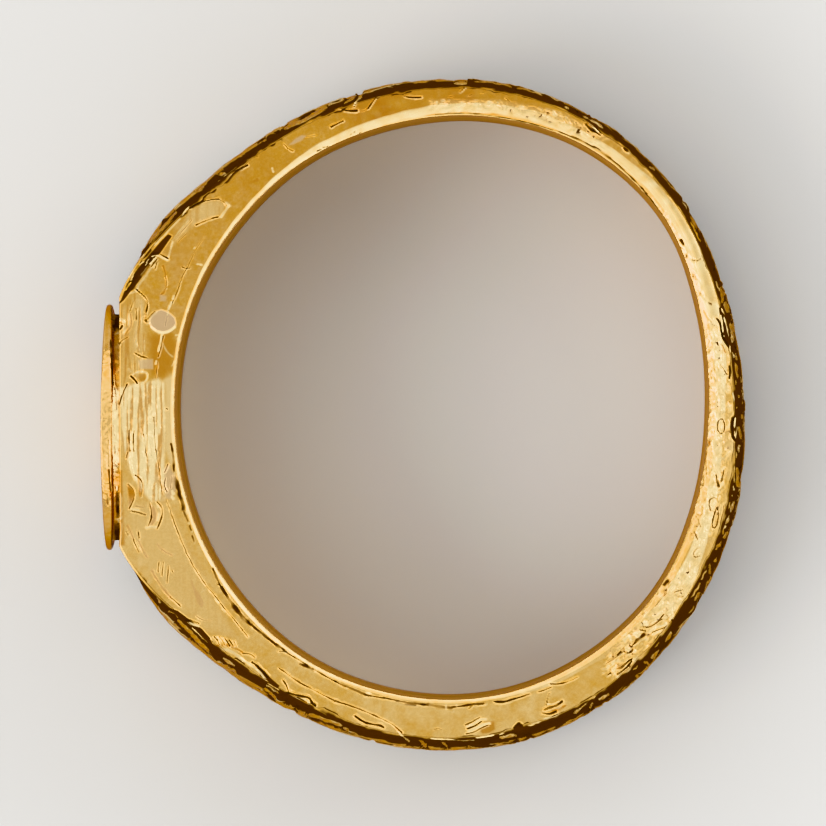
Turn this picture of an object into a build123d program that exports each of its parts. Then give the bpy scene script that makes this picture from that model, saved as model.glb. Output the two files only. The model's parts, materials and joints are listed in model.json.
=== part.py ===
from build123d import *
from collections import namedtuple
import math
import os

# A gold signet ring: a hoop that widens to a flat seat, and an oval bezel plate on a collar.
# It is drawn in the frame of the finger: the finger axis is Z, the bezel faces -X and the back of
# the hoop is at +X. Lengths are in millimetres. Angles are in degrees about Z from the back, above
# 0 on the shoulder towards +Y and below 0 on the other. At the end it is tilted to lie on a side.

# Finger hole
bore_width = 18.5          # from the bezel to the back
bore_height = 20.1         # the other way across
edge_bevel = 0.12          # of the hole's two edges

# Hoop
seat_side_width = 10.0     # along the finger, at the seat of the bezel
back_width = 5.0           # along the finger, at the back
seat_wall = 1.78           # of gold between the hole and the seat
hoop_wall = 1.0            # of the side faces, from the hole outwards
crown_rise = 0.32          # of the domed outside above the edges of the side faces
relief_height = 0.24       # of the raised leaves and scrolls above the dome
shoulder_blend = 3.0       # along the hoop, from the flat seat to the domed shoulder
edge_fade = 0.5            # of the relief, towards the side faces

# Bezel
plate_height = 8.6         # across the finger
plate_thickness = 0.40
plate_side_step = 0.05     # from the side faces to the plate
collar_height = 0.38       # from the seat to the plate
collar_inset = 0.35        # of the collar behind the plate's outline
bezel_drop = 0.68          # of the bezel's centre below the middle of the hole
seat_margin_above = 0.55   # of seat beyond the collar, towards +Y
seat_margin_below = 0.15   # of seat beyond the collar, towards -Y

# Facets
steps_along = 84           # on each shoulder, from the seat to the back
steps_on_seat = 14         # of the hole behind the seat
steps_across = 20
bezel_sides = 64

# The hoop's shape around the finger. bore is a share of the hole's plain ellipse, wall of
# hoop_wall and crown of crown_rise. Behind the seat only bore counts.
Section = namedtuple("Section", "angle bore wall crown")
sections = [
    Section(-180, 1.000, 2.45, 0.90),
    Section(-160, 1.004, 2.60, 0.90),
    Section(-148, 1.006, 2.30, 1.00),
    Section(-135, 1.005, 1.76, 1.15),
    Section(-120, 1.006, 1.38, 1.15),
    Section(-100, 1.003, 1.38, 1.00),
    Section(-80, 1.011, 1.37, 1.00),
    Section(-60, 1.018, 1.29, 1.05),
    Section(-40, 1.023, 1.06, 1.00),
    Section(-20, 1.007, 1.10, 0.80),
    Section(0, 1.000, 0.93, 0.70),
    Section(20, 1.022, 0.77, 0.60),
    Section(40, 1.060, 0.64, 0.50),
    Section(60, 1.051, 0.79, 0.50),
    Section(80, 1.020, 0.97, 0.50),
    Section(100, 0.995, 1.07, 0.60),
    Section(120, 0.994, 1.14, 0.75),
    Section(135, 0.994, 1.42, 0.85),
    Section(148, 1.000, 1.95, 0.70),
    Section(160, 1.003, 2.30, 0.70),
]

# The relief of a shoulder, from the seat to the back. along is a share of the way to the back,
# across and size are shares of the hoop's half width there, and turn is the way that the motif
# points, 0 towards the back. A row with across above 0 is mirrored to the other edge.
Motif = namedtuple("Motif", "kind along across size turn")
shoulder_motifs = [
    Motif("leaf", 0.000, 0.00, 1.50, 0),
    Motif("leaf", 0.015, 0.34, 1.10, 16),
    Motif("scroll", 0.080, 0.70, 0.26, 150),
    Motif("leaf", 0.120, 0.62, 0.80, 6),
    Motif("shell", 0.265, 0.00, 0.60, 0),
    Motif("scroll", 0.240, 0.66, 0.28, 200),
    Motif("leaf", 0.290, 0.62, 0.85, -20),
    Motif("bead", 0.375, 0.00, 0.15, 0),
]

# The running scroll that goes on from the shell to the back
vine_start = 0.40          # share of the way to the back
vine_pitch = 0.12          # share of the way to the back, from curl to curl
vine_swing = 0.34          # share of the half width, from the middle to a curl
vine_curl = 0.48           # share of the half width, a curl's radius
vine_leaf = 0.80           # share of the half width, a leaf's length
vine_leaf_turn = 32        # from the hoop's direction

# Sizes that follow
bore_a = bore_width / 2
bore_b = bore_height / 2
seat_x = -(bore_a + seat_wall)
collar_x = seat_x - collar_height
plate_x = collar_x - plate_thickness
plate_reach = (plate_height / 2, seat_side_width / 2 - plate_side_step)
collar_reach = (plate_reach[0] - collar_inset, plate_reach[1] - collar_inset)
seat_top = -bezel_drop + collar_reach[0] + seat_margin_above
seat_bottom = -bezel_drop - collar_reach[0] - seat_margin_below
seat_angle_above = math.degrees(math.atan2(seat_top, seat_x))
seat_angle_below = math.degrees(math.atan2(seat_bottom, seat_x))
side_slope = (seat_side_width - back_width) / 2 / (bore_a + hoop_wall - seat_x)
tilt = math.atan(side_slope)
hoop_radius = (bore_a + bore_b) / 2 + hoop_wall


def half_width(x):
    """Half of the hoop's width along the finger, which tapers evenly from the seat to the back."""
    return seat_side_width / 2 - side_slope * (x - seat_x)


def smooth(value):
    """0 below 0, 1 above 1 and an even swing between."""
    value = min(1, max(0, value))
    return value * value * (3 - 2 * value)


def section_value(angle, column):
    """A column of the table at any angle, on a smooth curve through its rows."""
    rows = [(row.angle, getattr(row, column)) for row in sections]
    before = [(turn - 360, value) for turn, value in rows[-1:]]
    after = [(turn + 360, value) for turn, value in rows[:2]]
    rows = before + rows + after
    i = max(k for k in range(1, len(rows) - 2) if rows[k][0] <= angle)
    (a0, v0), (a1, v1), (a2, v2), (a3, v3) = rows[i - 1:i + 3]
    f = (angle - a1) / (a2 - a1)
    slope_1 = (v2 - v0) / (a2 - a0) * (a2 - a1)
    slope_2 = (v3 - v1) / (a3 - a1) * (a2 - a1)
    level = v1 * (1 + 2 * f) * (1 - f) ** 2 + v2 * (3 - 2 * f) * f * f
    return level + slope_1 * f * (1 - f) ** 2 - slope_2 * (1 - f) * f * f


def bore_radius(angle):
    turn = math.radians(angle)
    ellipse = 1 / math.hypot(math.cos(turn) / bore_a, math.sin(turn) / bore_b)
    return ellipse * section_value(angle, "bore")


def rim_radius(angle):
    """Radius of the side faces' outer edge."""
    return bore_radius(angle) + hoop_wall * section_value(angle, "wall")


def leaf_height(x, y, size):
    """A pointed leaf from the origin along x, with lobed edges and a midrib."""
    f = x / size
    if not 0 < f < 1:
        return 0
    lobes = 1 - 0.22 * abs(math.sin(3.5 * math.pi * f))
    half = 0.30 * size * math.sin(math.pi * f ** 0.75) * lobes
    n = abs(y) / half
    if n >= 1:
        return 0
    midrib = 0.4 * max(0, 1 - n / 0.22)
    return math.sqrt(1 - n * n) * (1 - midrib)


def scroll_height(x, y, size):
    """A band that winds in to a round eye."""
    radius = math.hypot(x, y) / size
    eye = math.sqrt(max(0, 1 - (radius / 0.30) ** 2))
    height = eye
    phase = math.atan2(y, x) / (2 * math.pi)
    for lap in range(2):
        wind = phase + 0.5 + lap
        middle = 0.85 * 0.55 ** wind
        n = abs(radius - middle) / (0.19 * 0.75 ** wind)
        if n < 1:
            height = max(height, math.sqrt(1 - n * n))
    return height


def shell_height(x, y, size):
    """A shell whose ridges fan out from the origin about x."""
    radius = math.hypot(x, y) / size
    fan = math.atan2(y, x)
    ridge = math.cos(8 * fan)
    reach = 1 + 0.10 * ridge
    if abs(fan) > math.radians(125) or radius > reach:
        return 0
    return (0.62 + 0.38 * ridge) * math.sqrt(1 - (radius / reach) ** 4)


def bead_height(x, y, size):
    return math.sqrt(max(0, 1 - (x * x + y * y) / size ** 2))


motif_height = {"leaf": leaf_height, "scroll": scroll_height, "shell": shell_height, "bead": bead_height}


def relief_rows():
    """Every motif of a shoulder, with the mirrored ones and the running scroll."""
    rows = list(shoulder_motifs)
    rows += [Motif(m.kind, m.along, -m.across, m.size, -m.turn) for m in shoulder_motifs if m.across > 0]
    along = vine_start
    side = 1
    while along < 1 + vine_pitch / 2:
        rows.append(Motif("scroll", along, side * vine_swing, vine_curl, side * 90))
        rows.append(Motif("leaf", along, -side * vine_swing, vine_leaf, -side * vine_leaf_turn))
        rows.append(Motif("leaf", along, -side * vine_swing, vine_leaf, side * (180 + vine_leaf_turn)))
        along += vine_pitch
        side = -side
    return rows


motif_rows = relief_rows()


def relief(angle, across):
    """The raised work at a point of the outside, from 0 on the ground to 1."""
    reach = seat_angle_above if angle >= 0 else -seat_angle_below
    along = 1 - abs(angle) / reach
    length = math.radians(reach) * hoop_radius
    level = across * half_width(hoop_radius * math.cos(math.radians(angle)))
    height = 0
    for row in motif_rows:
        half = half_width(hoop_radius * math.cos(math.radians(reach * (1 - row.along))))
        size = row.size * half
        dx = (along - row.along) * length
        dy = level - row.across * half
        if math.hypot(dx, dy) > 1.15 * size:
            continue
        turn = math.radians(row.turn)
        x = dx * math.cos(turn) + dy * math.sin(turn)
        y = dy * math.cos(turn) - dx * math.sin(turn)
        height = max(height, motif_height[row.kind](x, y, size))
    return height


def soft_relief(angle, across):
    """The relief, rounded over a facet's reach so that its edges follow the facets evenly."""
    reach_along = 0.3 * seat_angle_above / steps_along
    reach_across = 0.3 * 2 / steps_across
    places = [(-1, -1), (-1, 1), (1, -1), (1, 1)]
    heights = [relief(angle + i * reach_along, across + j * reach_across) for i, j in places]
    return sum(heights) / len(heights)


def outside_point(angle, across):
    """A point of the hoop's outside. across runs from -1 to 1, from one side face to the other."""
    turn = math.radians(angle)
    seat_angle = seat_angle_above if angle >= 0 else seat_angle_below
    from_seat = math.radians(abs(seat_angle - angle)) * hoop_radius
    blend = smooth(from_seat / shoulder_blend)
    seat_step = seat_x / math.cos(math.radians(seat_angle)) - rim_radius(seat_angle)
    rim = rim_radius(angle) + (1 - blend) * seat_step
    dome = crown_rise * section_value(angle, "crown") * (1 - across ** 2)
    edge_distance = (1 - abs(across)) * half_width(rim * math.cos(turn))
    raised = relief_height * soft_relief(angle, across) * smooth(edge_distance / edge_fade)
    radius = rim + blend * (dome + raised)
    x = radius * math.cos(turn)
    return (x, radius * math.sin(turn), across * half_width(x))


def bore_point(angle, side, out, down):
    """A point by the hole's edge on one side face: out along the radius, down from the face."""
    radius = bore_radius(angle) + out
    x = radius * math.cos(math.radians(angle))
    return (x, radius * math.sin(math.radians(angle)), side * (half_width(x) - down))


def oval(x, reach):
    """The corners of the bezel's outline, at one x."""
    turns = [2 * math.pi * k / bezel_sides for k in range(bezel_sides)]
    return [(x, reach[0] * math.cos(t) - bezel_drop, reach[1] * math.sin(t)) for t in turns]


def closed_pairs(row):
    """Each item of a closed row with the next."""
    return zip(row, row[1:] + row[:1])


def band(row_a, row_b):
    """Flat four-sided facets between two closed rows of corners."""
    pairs = zip(closed_pairs(row_a), closed_pairs(row_b))
    return [[a1, a2, b2, b1] for (a1, a2), (b1, b2) in pairs]


def triangle_band(row_a, row_b):
    """Triangles between two closed rows of corners."""
    pairs = zip(closed_pairs(row_a), closed_pairs(row_b))
    return [corners for (a1, a2), (b1, b2) in pairs for corners in ([a1, a2, b2], [a1, b2, b1])]


def outside_triangles(angles, shares):
    """The hoop's outside. Each cell is split along the diagonal that runs nearer to the true surface."""
    rows = [[outside_point(angle, share) for share in shares] for angle in angles]
    triangles = []
    for i in range(len(angles) - 1):
        for j in range(len(shares) - 1):
            a, b, c, d = rows[i][j], rows[i + 1][j], rows[i + 1][j + 1], rows[i][j + 1]
            centre = outside_point((angles[i] + angles[i + 1]) / 2, (shares[j] + shares[j + 1]) / 2)
            miss_ac = math.dist(centre, [(p + q) / 2 for p, q in zip(a, c)])
            miss_bd = math.dist(centre, [(p + q) / 2 for p, q in zip(b, d)])
            if miss_ac <= miss_bd:
                triangles += [[a, b, c], [a, c, d]]
            else:
                triangles += [[a, b, d], [b, c, d]]
    return rows, triangles


def ring_solid():
    """The whole ring as one closed solid, in the frame of the finger."""
    hoop_angles = [seat_angle_below * (1 - k / steps_along) for k in range(steps_along)]
    hoop_angles += [seat_angle_above * k / steps_along for k in range(steps_along + 1)]
    seat_sweep = 360 + seat_angle_below - seat_angle_above
    seat_angles = [seat_angle_above + seat_sweep * k / steps_on_seat for k in range(1, steps_on_seat)]
    bore_angles = hoop_angles + [a - 360 if a > 180 else a for a in seat_angles]
    shares = [2 * k / steps_across - 1 for k in range(steps_across + 1)]
    rows, polygons = outside_triangles(hoop_angles, shares)

    # finger hole, its two bevels and the two side faces
    faces = []
    wall_edges = []
    for side, end in ((1, -1), (-1, 0)):
        wall_edge = [bore_point(angle, side, 0, edge_bevel) for angle in bore_angles]
        face_edge = [bore_point(angle, side, edge_bevel, 0) for angle in bore_angles]
        polygons += triangle_band(wall_edge, face_edge)
        wall_edges.append(wall_edge)
        outline = Wire.make_polygon([row[end] for row in rows])
        faces.append(Face(outline, [Wire.make_polygon(face_edge)]))
    polygons += band(wall_edges[0], wall_edges[1])

    # seat, collar and plate of the bezel
    seat_outline = Wire.make_polygon(rows[0] + rows[-1][::-1])
    collar_foot = oval(seat_x, collar_reach)
    collar_top = oval(collar_x, collar_reach)
    plate_under = oval(collar_x, plate_reach)
    plate_face = oval(plate_x, plate_reach)
    faces.append(Face(seat_outline, [Wire.make_polygon(collar_foot)]))
    faces.append(Face(Wire.make_polygon(plate_under), [Wire.make_polygon(collar_top)]))
    polygons += band(collar_foot, collar_top)
    polygons += band(plate_under, plate_face)
    polygons.append(plate_face)

    faces += [Face(Wire.make_polygon(corners)) for corners in polygons]
    return Solid(Shell(faces))


# The ring turns about Y until the side face at -Z is level, and stands with it on the ground,
# over the middle of its own box.
ring = Rot(0, math.degrees(tilt), 0) * ring_solid()
box = ring.bounding_box()
signet_ring = Pos(-box.center().X, -box.center().Y, -box.min.Z) * ring

os.makedirs("parts", exist_ok=True)
export_step(signet_ring, "parts/signet_ring.step")
print("tilt", round(math.degrees(tilt), 3), "volume", round(signet_ring.volume, 2), "box", box.size)
print("moved by", -box.center().X, -box.center().Y, -box.min.Z)
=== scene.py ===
import json
import math
from collections import namedtuple

import bpy
import numpy as np
from mathutils import Matrix, Vector


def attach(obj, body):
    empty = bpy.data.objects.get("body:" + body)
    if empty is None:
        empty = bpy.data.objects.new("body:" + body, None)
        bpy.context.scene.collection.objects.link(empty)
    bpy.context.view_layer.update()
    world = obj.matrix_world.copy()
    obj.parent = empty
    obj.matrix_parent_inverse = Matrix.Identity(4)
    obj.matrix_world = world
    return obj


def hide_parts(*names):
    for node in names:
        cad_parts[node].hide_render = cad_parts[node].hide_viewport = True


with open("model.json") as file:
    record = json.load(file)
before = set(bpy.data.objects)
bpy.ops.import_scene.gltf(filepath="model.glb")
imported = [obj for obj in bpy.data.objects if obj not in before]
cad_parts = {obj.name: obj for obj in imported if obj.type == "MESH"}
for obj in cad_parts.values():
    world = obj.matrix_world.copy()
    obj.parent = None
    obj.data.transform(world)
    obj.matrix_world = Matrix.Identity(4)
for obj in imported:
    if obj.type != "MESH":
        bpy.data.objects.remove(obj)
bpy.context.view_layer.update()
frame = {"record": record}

# The ring is drawn in the frame of the finger, in millimetres: the finger axis is Z, the bezel faces
# -X and the back of the hoop is at +X. Angles are in degrees about Z from the back. The record's
# finger_hole mount says where that frame lies in the row frame.
MM = 0.001
hole = next(m for m in frame["record"]["mounts"] if m["name"] == "finger_hole")
axis_z = Vector(hole["axis"]).normalized()
axis_y = Vector((0, 1, 0))
axis_x = axis_y.cross(axis_z)
turn_to_row = np.array([axis_x, axis_y, axis_z])
spin = Matrix([axis_x, axis_y, axis_z]).transposed()
middle_of_hole = np.array(hole["pos_m"])

# Sizes of the solid, as in the part's source
bore_a = 18.5 / 2
bore_b = 20.1 / 2
seat_side_width = 10.0
back_width = 5.0
seat_wall = 1.78
hoop_wall = 1.0
crown_rise = 0.32
relief_height = 0.24
shoulder_blend = 3.0
plate_height = 8.6
plate_thickness = 0.40
plate_side_step = 0.05
collar_height = 0.38
collar_inset = 0.35
bezel_drop = 0.68
seat_margin_above = 0.55
seat_margin_below = 0.15
seat_fill = 0.13             # the solder that carries the side on towards the plate

Section = namedtuple("Section", "angle bore wall crown")
sections = [
    Section(-180, 1.000, 2.45, 0.90), Section(-160, 1.004, 2.60, 0.90), Section(-148, 1.006, 2.30, 1.00),
    Section(-135, 1.005, 1.76, 1.15), Section(-120, 1.006, 1.38, 1.15), Section(-100, 1.003, 1.38, 1.00),
    Section(-80, 1.011, 1.37, 1.00), Section(-60, 1.018, 1.29, 1.05), Section(-40, 1.023, 1.06, 1.00),
    Section(-20, 1.007, 1.10, 0.80), Section(0, 1.000, 0.93, 0.70), Section(20, 1.022, 0.77, 0.60),
    Section(40, 1.060, 0.64, 0.50), Section(60, 1.051, 0.79, 0.50), Section(80, 1.020, 0.97, 0.50),
    Section(100, 0.995, 1.07, 0.60), Section(120, 0.994, 1.14, 0.75), Section(135, 0.994, 1.42, 0.85),
    Section(148, 1.000, 1.95, 0.70), Section(160, 1.003, 2.30, 0.70),
]

seat_x = -(bore_a + seat_wall)
front_x = seat_x - seat_fill
collar_x = seat_x - collar_height
plate_x = collar_x - plate_thickness
plate_reach = (plate_height / 2, seat_side_width / 2 - plate_side_step)
collar_reach = plate_reach[0] - collar_inset
seat_top = -bezel_drop + collar_reach + seat_margin_above
seat_bottom = -bezel_drop - collar_reach - seat_margin_below
seat_angle_above = math.degrees(math.atan2(seat_top, front_x))
seat_angle_below = math.degrees(math.atan2(seat_bottom, front_x))
side_slope = (seat_side_width - back_width) / 2 / (bore_a + hoop_wall - seat_x)
hoop_radius = (bore_a + bore_b) / 2 + hoop_wall

# The camera looks along the finger axis from about a hand's length away, as the photograph does.
# Marks on the side of the ring are placed by the photograph's pixels through the same camera.
IMAGE = 826
eye = (-1.024, -0.182, 350.0)
pixel_scale = 10000.0        # pixels for a millimetre at one millimetre from the eye

# Edges, wear and facets, in mm
far_bevel = 0.12
chamfer = 0.7                # how flat the near edge of the hole is worn, 0 for a round edge
edge_round = 0.07
nick_width = 0.12            # how much wider the worn near edge is where the carving runs over it
floor_gap = 0.002
far_rim = 0.80               # share of the hole's depth at which the painted highlight of its far rim starts
plate_edge_round = 0.06
plate_tip_round = 0.03
plate_bow = 0.07
plate_tip_taper = 0.13
collar_sunk = 0.03
flush_middle = -0.70         # height of the stretch where the collar is nearly flush with the side
flush_reach = 1.35
flush_inset = 0.05
file_depth = 0.016
beat_rise = 0.034
sliver_proud = 0.015         # rise of a sliver that runs over the worn edge
sliver_rise = 0.10           # rise of a sliver on the carved outside
flute_pitch = 0.30           # the fine grooves across a sliver
flute_lean = 0.35

# Numbers of facets
stations_count = 1500
pitch_front = 0.036          # mm from station to station near the bezel
pitch_back = 0.056
fine_from = 100              # degrees from the back, where the stations start to draw together
fine_over = 20
side_rows = 66
bore_rows = 18
bevel_rows = 8
far_side_rows = 22
round_rows = 6
carving_rows = 58
bezel_stations = 900
collar_rows = 14
plate_back_rows = 8
plate_round_rows = 6
plate_edge_rows = 16

rng = np.random.default_rng(17)
lattice_size = 32
lattice = rng.random((lattice_size,) * 3)


# Numbers and noise

def smooth(value):
    """0 up to 0 and 1 from 1, with a soft step between them."""
    value = np.clip(value, 0, 1)
    return value * value * (3 - 2 * value)


def table_value(rows, field, angle):
    """A column of a table with an angle column, on a smooth closed curve through its rows."""
    angles = np.array([row.angle for row in rows], float)
    values = np.array([getattr(row, field) for row in rows], float)
    angles = np.concatenate([angles[-2:] - 360, angles, angles[:2] + 360])
    values = np.concatenate([values[-2:], values, values[:2]])
    slopes = np.zeros_like(values)
    slopes[1:-1] = (values[2:] - values[:-2]) / (angles[2:] - angles[:-2])
    i = np.clip(np.searchsorted(angles, angle, side="right") - 1, 1, len(angles) - 3)
    step = angles[i + 1] - angles[i]
    f = (angle - angles[i]) / step
    level = values[i] * (1 + 2 * f) * (1 - f) ** 2 + values[i + 1] * (3 - 2 * f) * f * f
    return level + step * (slopes[i] * f * (1 - f) ** 2 - slopes[i + 1] * (1 - f) * f * f)


def noise(points, pitch, offset=0.0):
    """Smooth noise from -1 to 1 with features about pitch across, at points (..., 3)."""
    p = points / pitch + offset * 7.31
    cell = np.floor(p).astype(int)
    f = p - cell
    f = f * f * (3 - 2 * f)
    value = 0.0
    for corner in range(8):
        bit = np.array([corner & 1, corner >> 1 & 1, corner >> 2 & 1])
        share = np.prod(np.where(bit, f, 1 - f), axis=-1)
        at = (cell + bit) % lattice_size
        value = value + share * lattice[at[..., 0], at[..., 1], at[..., 2]]
    return value * 2 - 1


def softened(values, steps):
    """Values on a grid of stations and rows, averaged with their neighbours."""
    for shift in steps:
        values = (values + np.roll(values, shift, 0) + np.roll(values, -shift, 0)) / 3
        wide = np.pad(values, ((0, 0), (shift, shift)), mode="edge")
        values = (values + wide[:, 2 * shift:] + wide[:, :-2 * shift]) / 3
    return values


# Shape of the hoop

def bore_radius(angle):
    turn = np.radians(angle)
    return table_value(sections, "bore", angle) / np.hypot(np.cos(turn) / bore_a, np.sin(turn) / bore_b)


def rim_radius(angle):
    return bore_radius(angle) + hoop_wall * table_value(sections, "wall", angle)


def half_width(x):
    """Half of the hoop's width along the finger, which narrows towards the back."""
    return seat_side_width / 2 - side_slope * (x - seat_x)


def on_seat(angle):
    return (angle > seat_angle_above) | (angle < seat_angle_below)


def seat_angle_at(angle):
    """The end of the flat seat on the same side of the bezel."""
    return np.where(angle >= 0, seat_angle_above, seat_angle_below)


def seat_radius(angle):
    """Radius of the flat seat, for angles near the bezel."""
    return front_x / np.minimum(np.cos(np.radians(angle)), -0.1)


def shoulder_blend_at(angle):
    """0 at the flat seat, 1 on the domed shoulder."""
    away = np.radians(np.abs(seat_angle_at(angle) - angle)) * hoop_radius
    return np.where(on_seat(angle), 0.0, smooth(away / shoulder_blend))


def edge_radius(angle):
    """Radius of the outer edge of the side faces, the straight edge of the seat among it."""
    seat_angle = seat_angle_at(angle)
    seat_step = front_x / np.cos(np.radians(seat_angle)) - rim_radius(seat_angle)
    round_hoop = rim_radius(angle) + (1 - shoulder_blend_at(angle)) * seat_step
    return np.where(on_seat(angle), seat_radius(angle), round_hoop)


def stations():
    """Angles around the hoop, closer together near the bezel, where the side is most marked."""
    turn = np.linspace(-180, 180, 7201)
    fine = smooth((np.abs(turn) - fine_from) / fine_over)
    pitch = pitch_back + (pitch_front - pitch_back) * fine
    density = np.radians(1) * hoop_radius / pitch
    total = np.concatenate([[0], np.cumsum((density[1:] + density[:-1]) / 2 * np.diff(turn))])
    return np.interp(np.arange(stations_count) / stations_count * total[-1], total, turn)


column = stations()[:, None]      # every grid has its stations down its first axis


def finger_points(angle, radius, z):
    turn = np.radians(angle)
    x, y, z = np.broadcast_arrays(radius * np.cos(turn), radius * np.sin(turn), z)
    return np.stack([x, y, z], axis=-1)


def to_pixels(points):
    """Where points of the finger frame show in the photograph."""
    scale = pixel_scale / (eye[2] - points[..., 2])
    return np.stack([IMAGE / 2 + (points[..., 0] - eye[0]) * scale,
                     IMAGE / 2 - (points[..., 1] - eye[1]) * scale], axis=-1)


def to_row(points):
    """Points of the finger frame in the row frame, in metres."""
    return np.array(points) * MM @ turn_to_row + middle_of_hole


# Tones are shares that the gold's colour and finish follow at each point of a mesh. The brown tone is
# tarnish and also painted shade, the amber tone is a deeper gold that also serves as painted shade, and the
# cream tone is painted highlight. file is long file marks, beat is small hammered bumps and turned is fine
# lines around the hole.
TONES = ("brown", "amber", "cream", "grey", "file", "beat", "turned")
TARNISH_AND_SHADE, AMBER_AND_SHADE, PAINTED_HIGHLIGHT, GREY, FILE, BEAT, TURNED = range(len(TONES))


def no_tones(values):
    """The tones of bare gold for an array of points."""
    return np.zeros((len(TONES),) + values.shape)


# Marks on the near side. depth is in mm, below 0 for a ridge, and the rest are tones, in their order.
# Their cream is painted highlight, the amber of gouge and wash is painted shade, the brown of cut, line,
# hair and pit is painted shade in the cut, the brown of dark is painted shade along the outer edge, and the
# stain look is partly real stain and partly painted shade in the groove behind the plate.
Look = namedtuple("Look", "depth brown amber cream grey file beat", defaults=(0.0,) * 7)
looks = {
    "cut": Look(depth=0.055, brown=0.90),
    "line": Look(depth=0.040, brown=0.72),
    "hair": Look(depth=0.018, brown=0.50, amber=0.2),
    "gouge": Look(depth=0.016, brown=0.22, amber=1.0),
    "wash": Look(amber=0.8),
    "stain_and_shade": Look(depth=0.016, brown=0.86, amber=0.5),
    "pit": Look(depth=0.060, brown=1.0),
    "ridge": Look(depth=-0.020, cream=1.0),
    "glow": Look(cream=0.6),
    "press": Look(depth=0.030, grey=1.0),
    "rub": Look(depth=0.006, grey=0.8),
    "filed": Look(depth=0.004, cream=1.0, file=1.0, beat=0.35),
    "grained": Look(amber=0.25, cream=0.25, file=0.9),
    "pale": Look(cream=0.36, file=0.5),
    "smooth": Look(cream=0.34, grey=0.1, file=0.12),
    "beaten": Look(cream=0.22, beat=1.0),
    "dark": Look(depth=0.050, brown=1.0),
}
lit_side = np.array([0.6, 0.8])   # the side of a cut whose lip gets a painted highlight, across the photograph
lip_place = 2.0                   # in half widths of the cut
lip_reach = 0.65
lip_rise = 0.30                   # share of the cut's depth that stands up beside it
lip_highlight = 0.60

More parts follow.
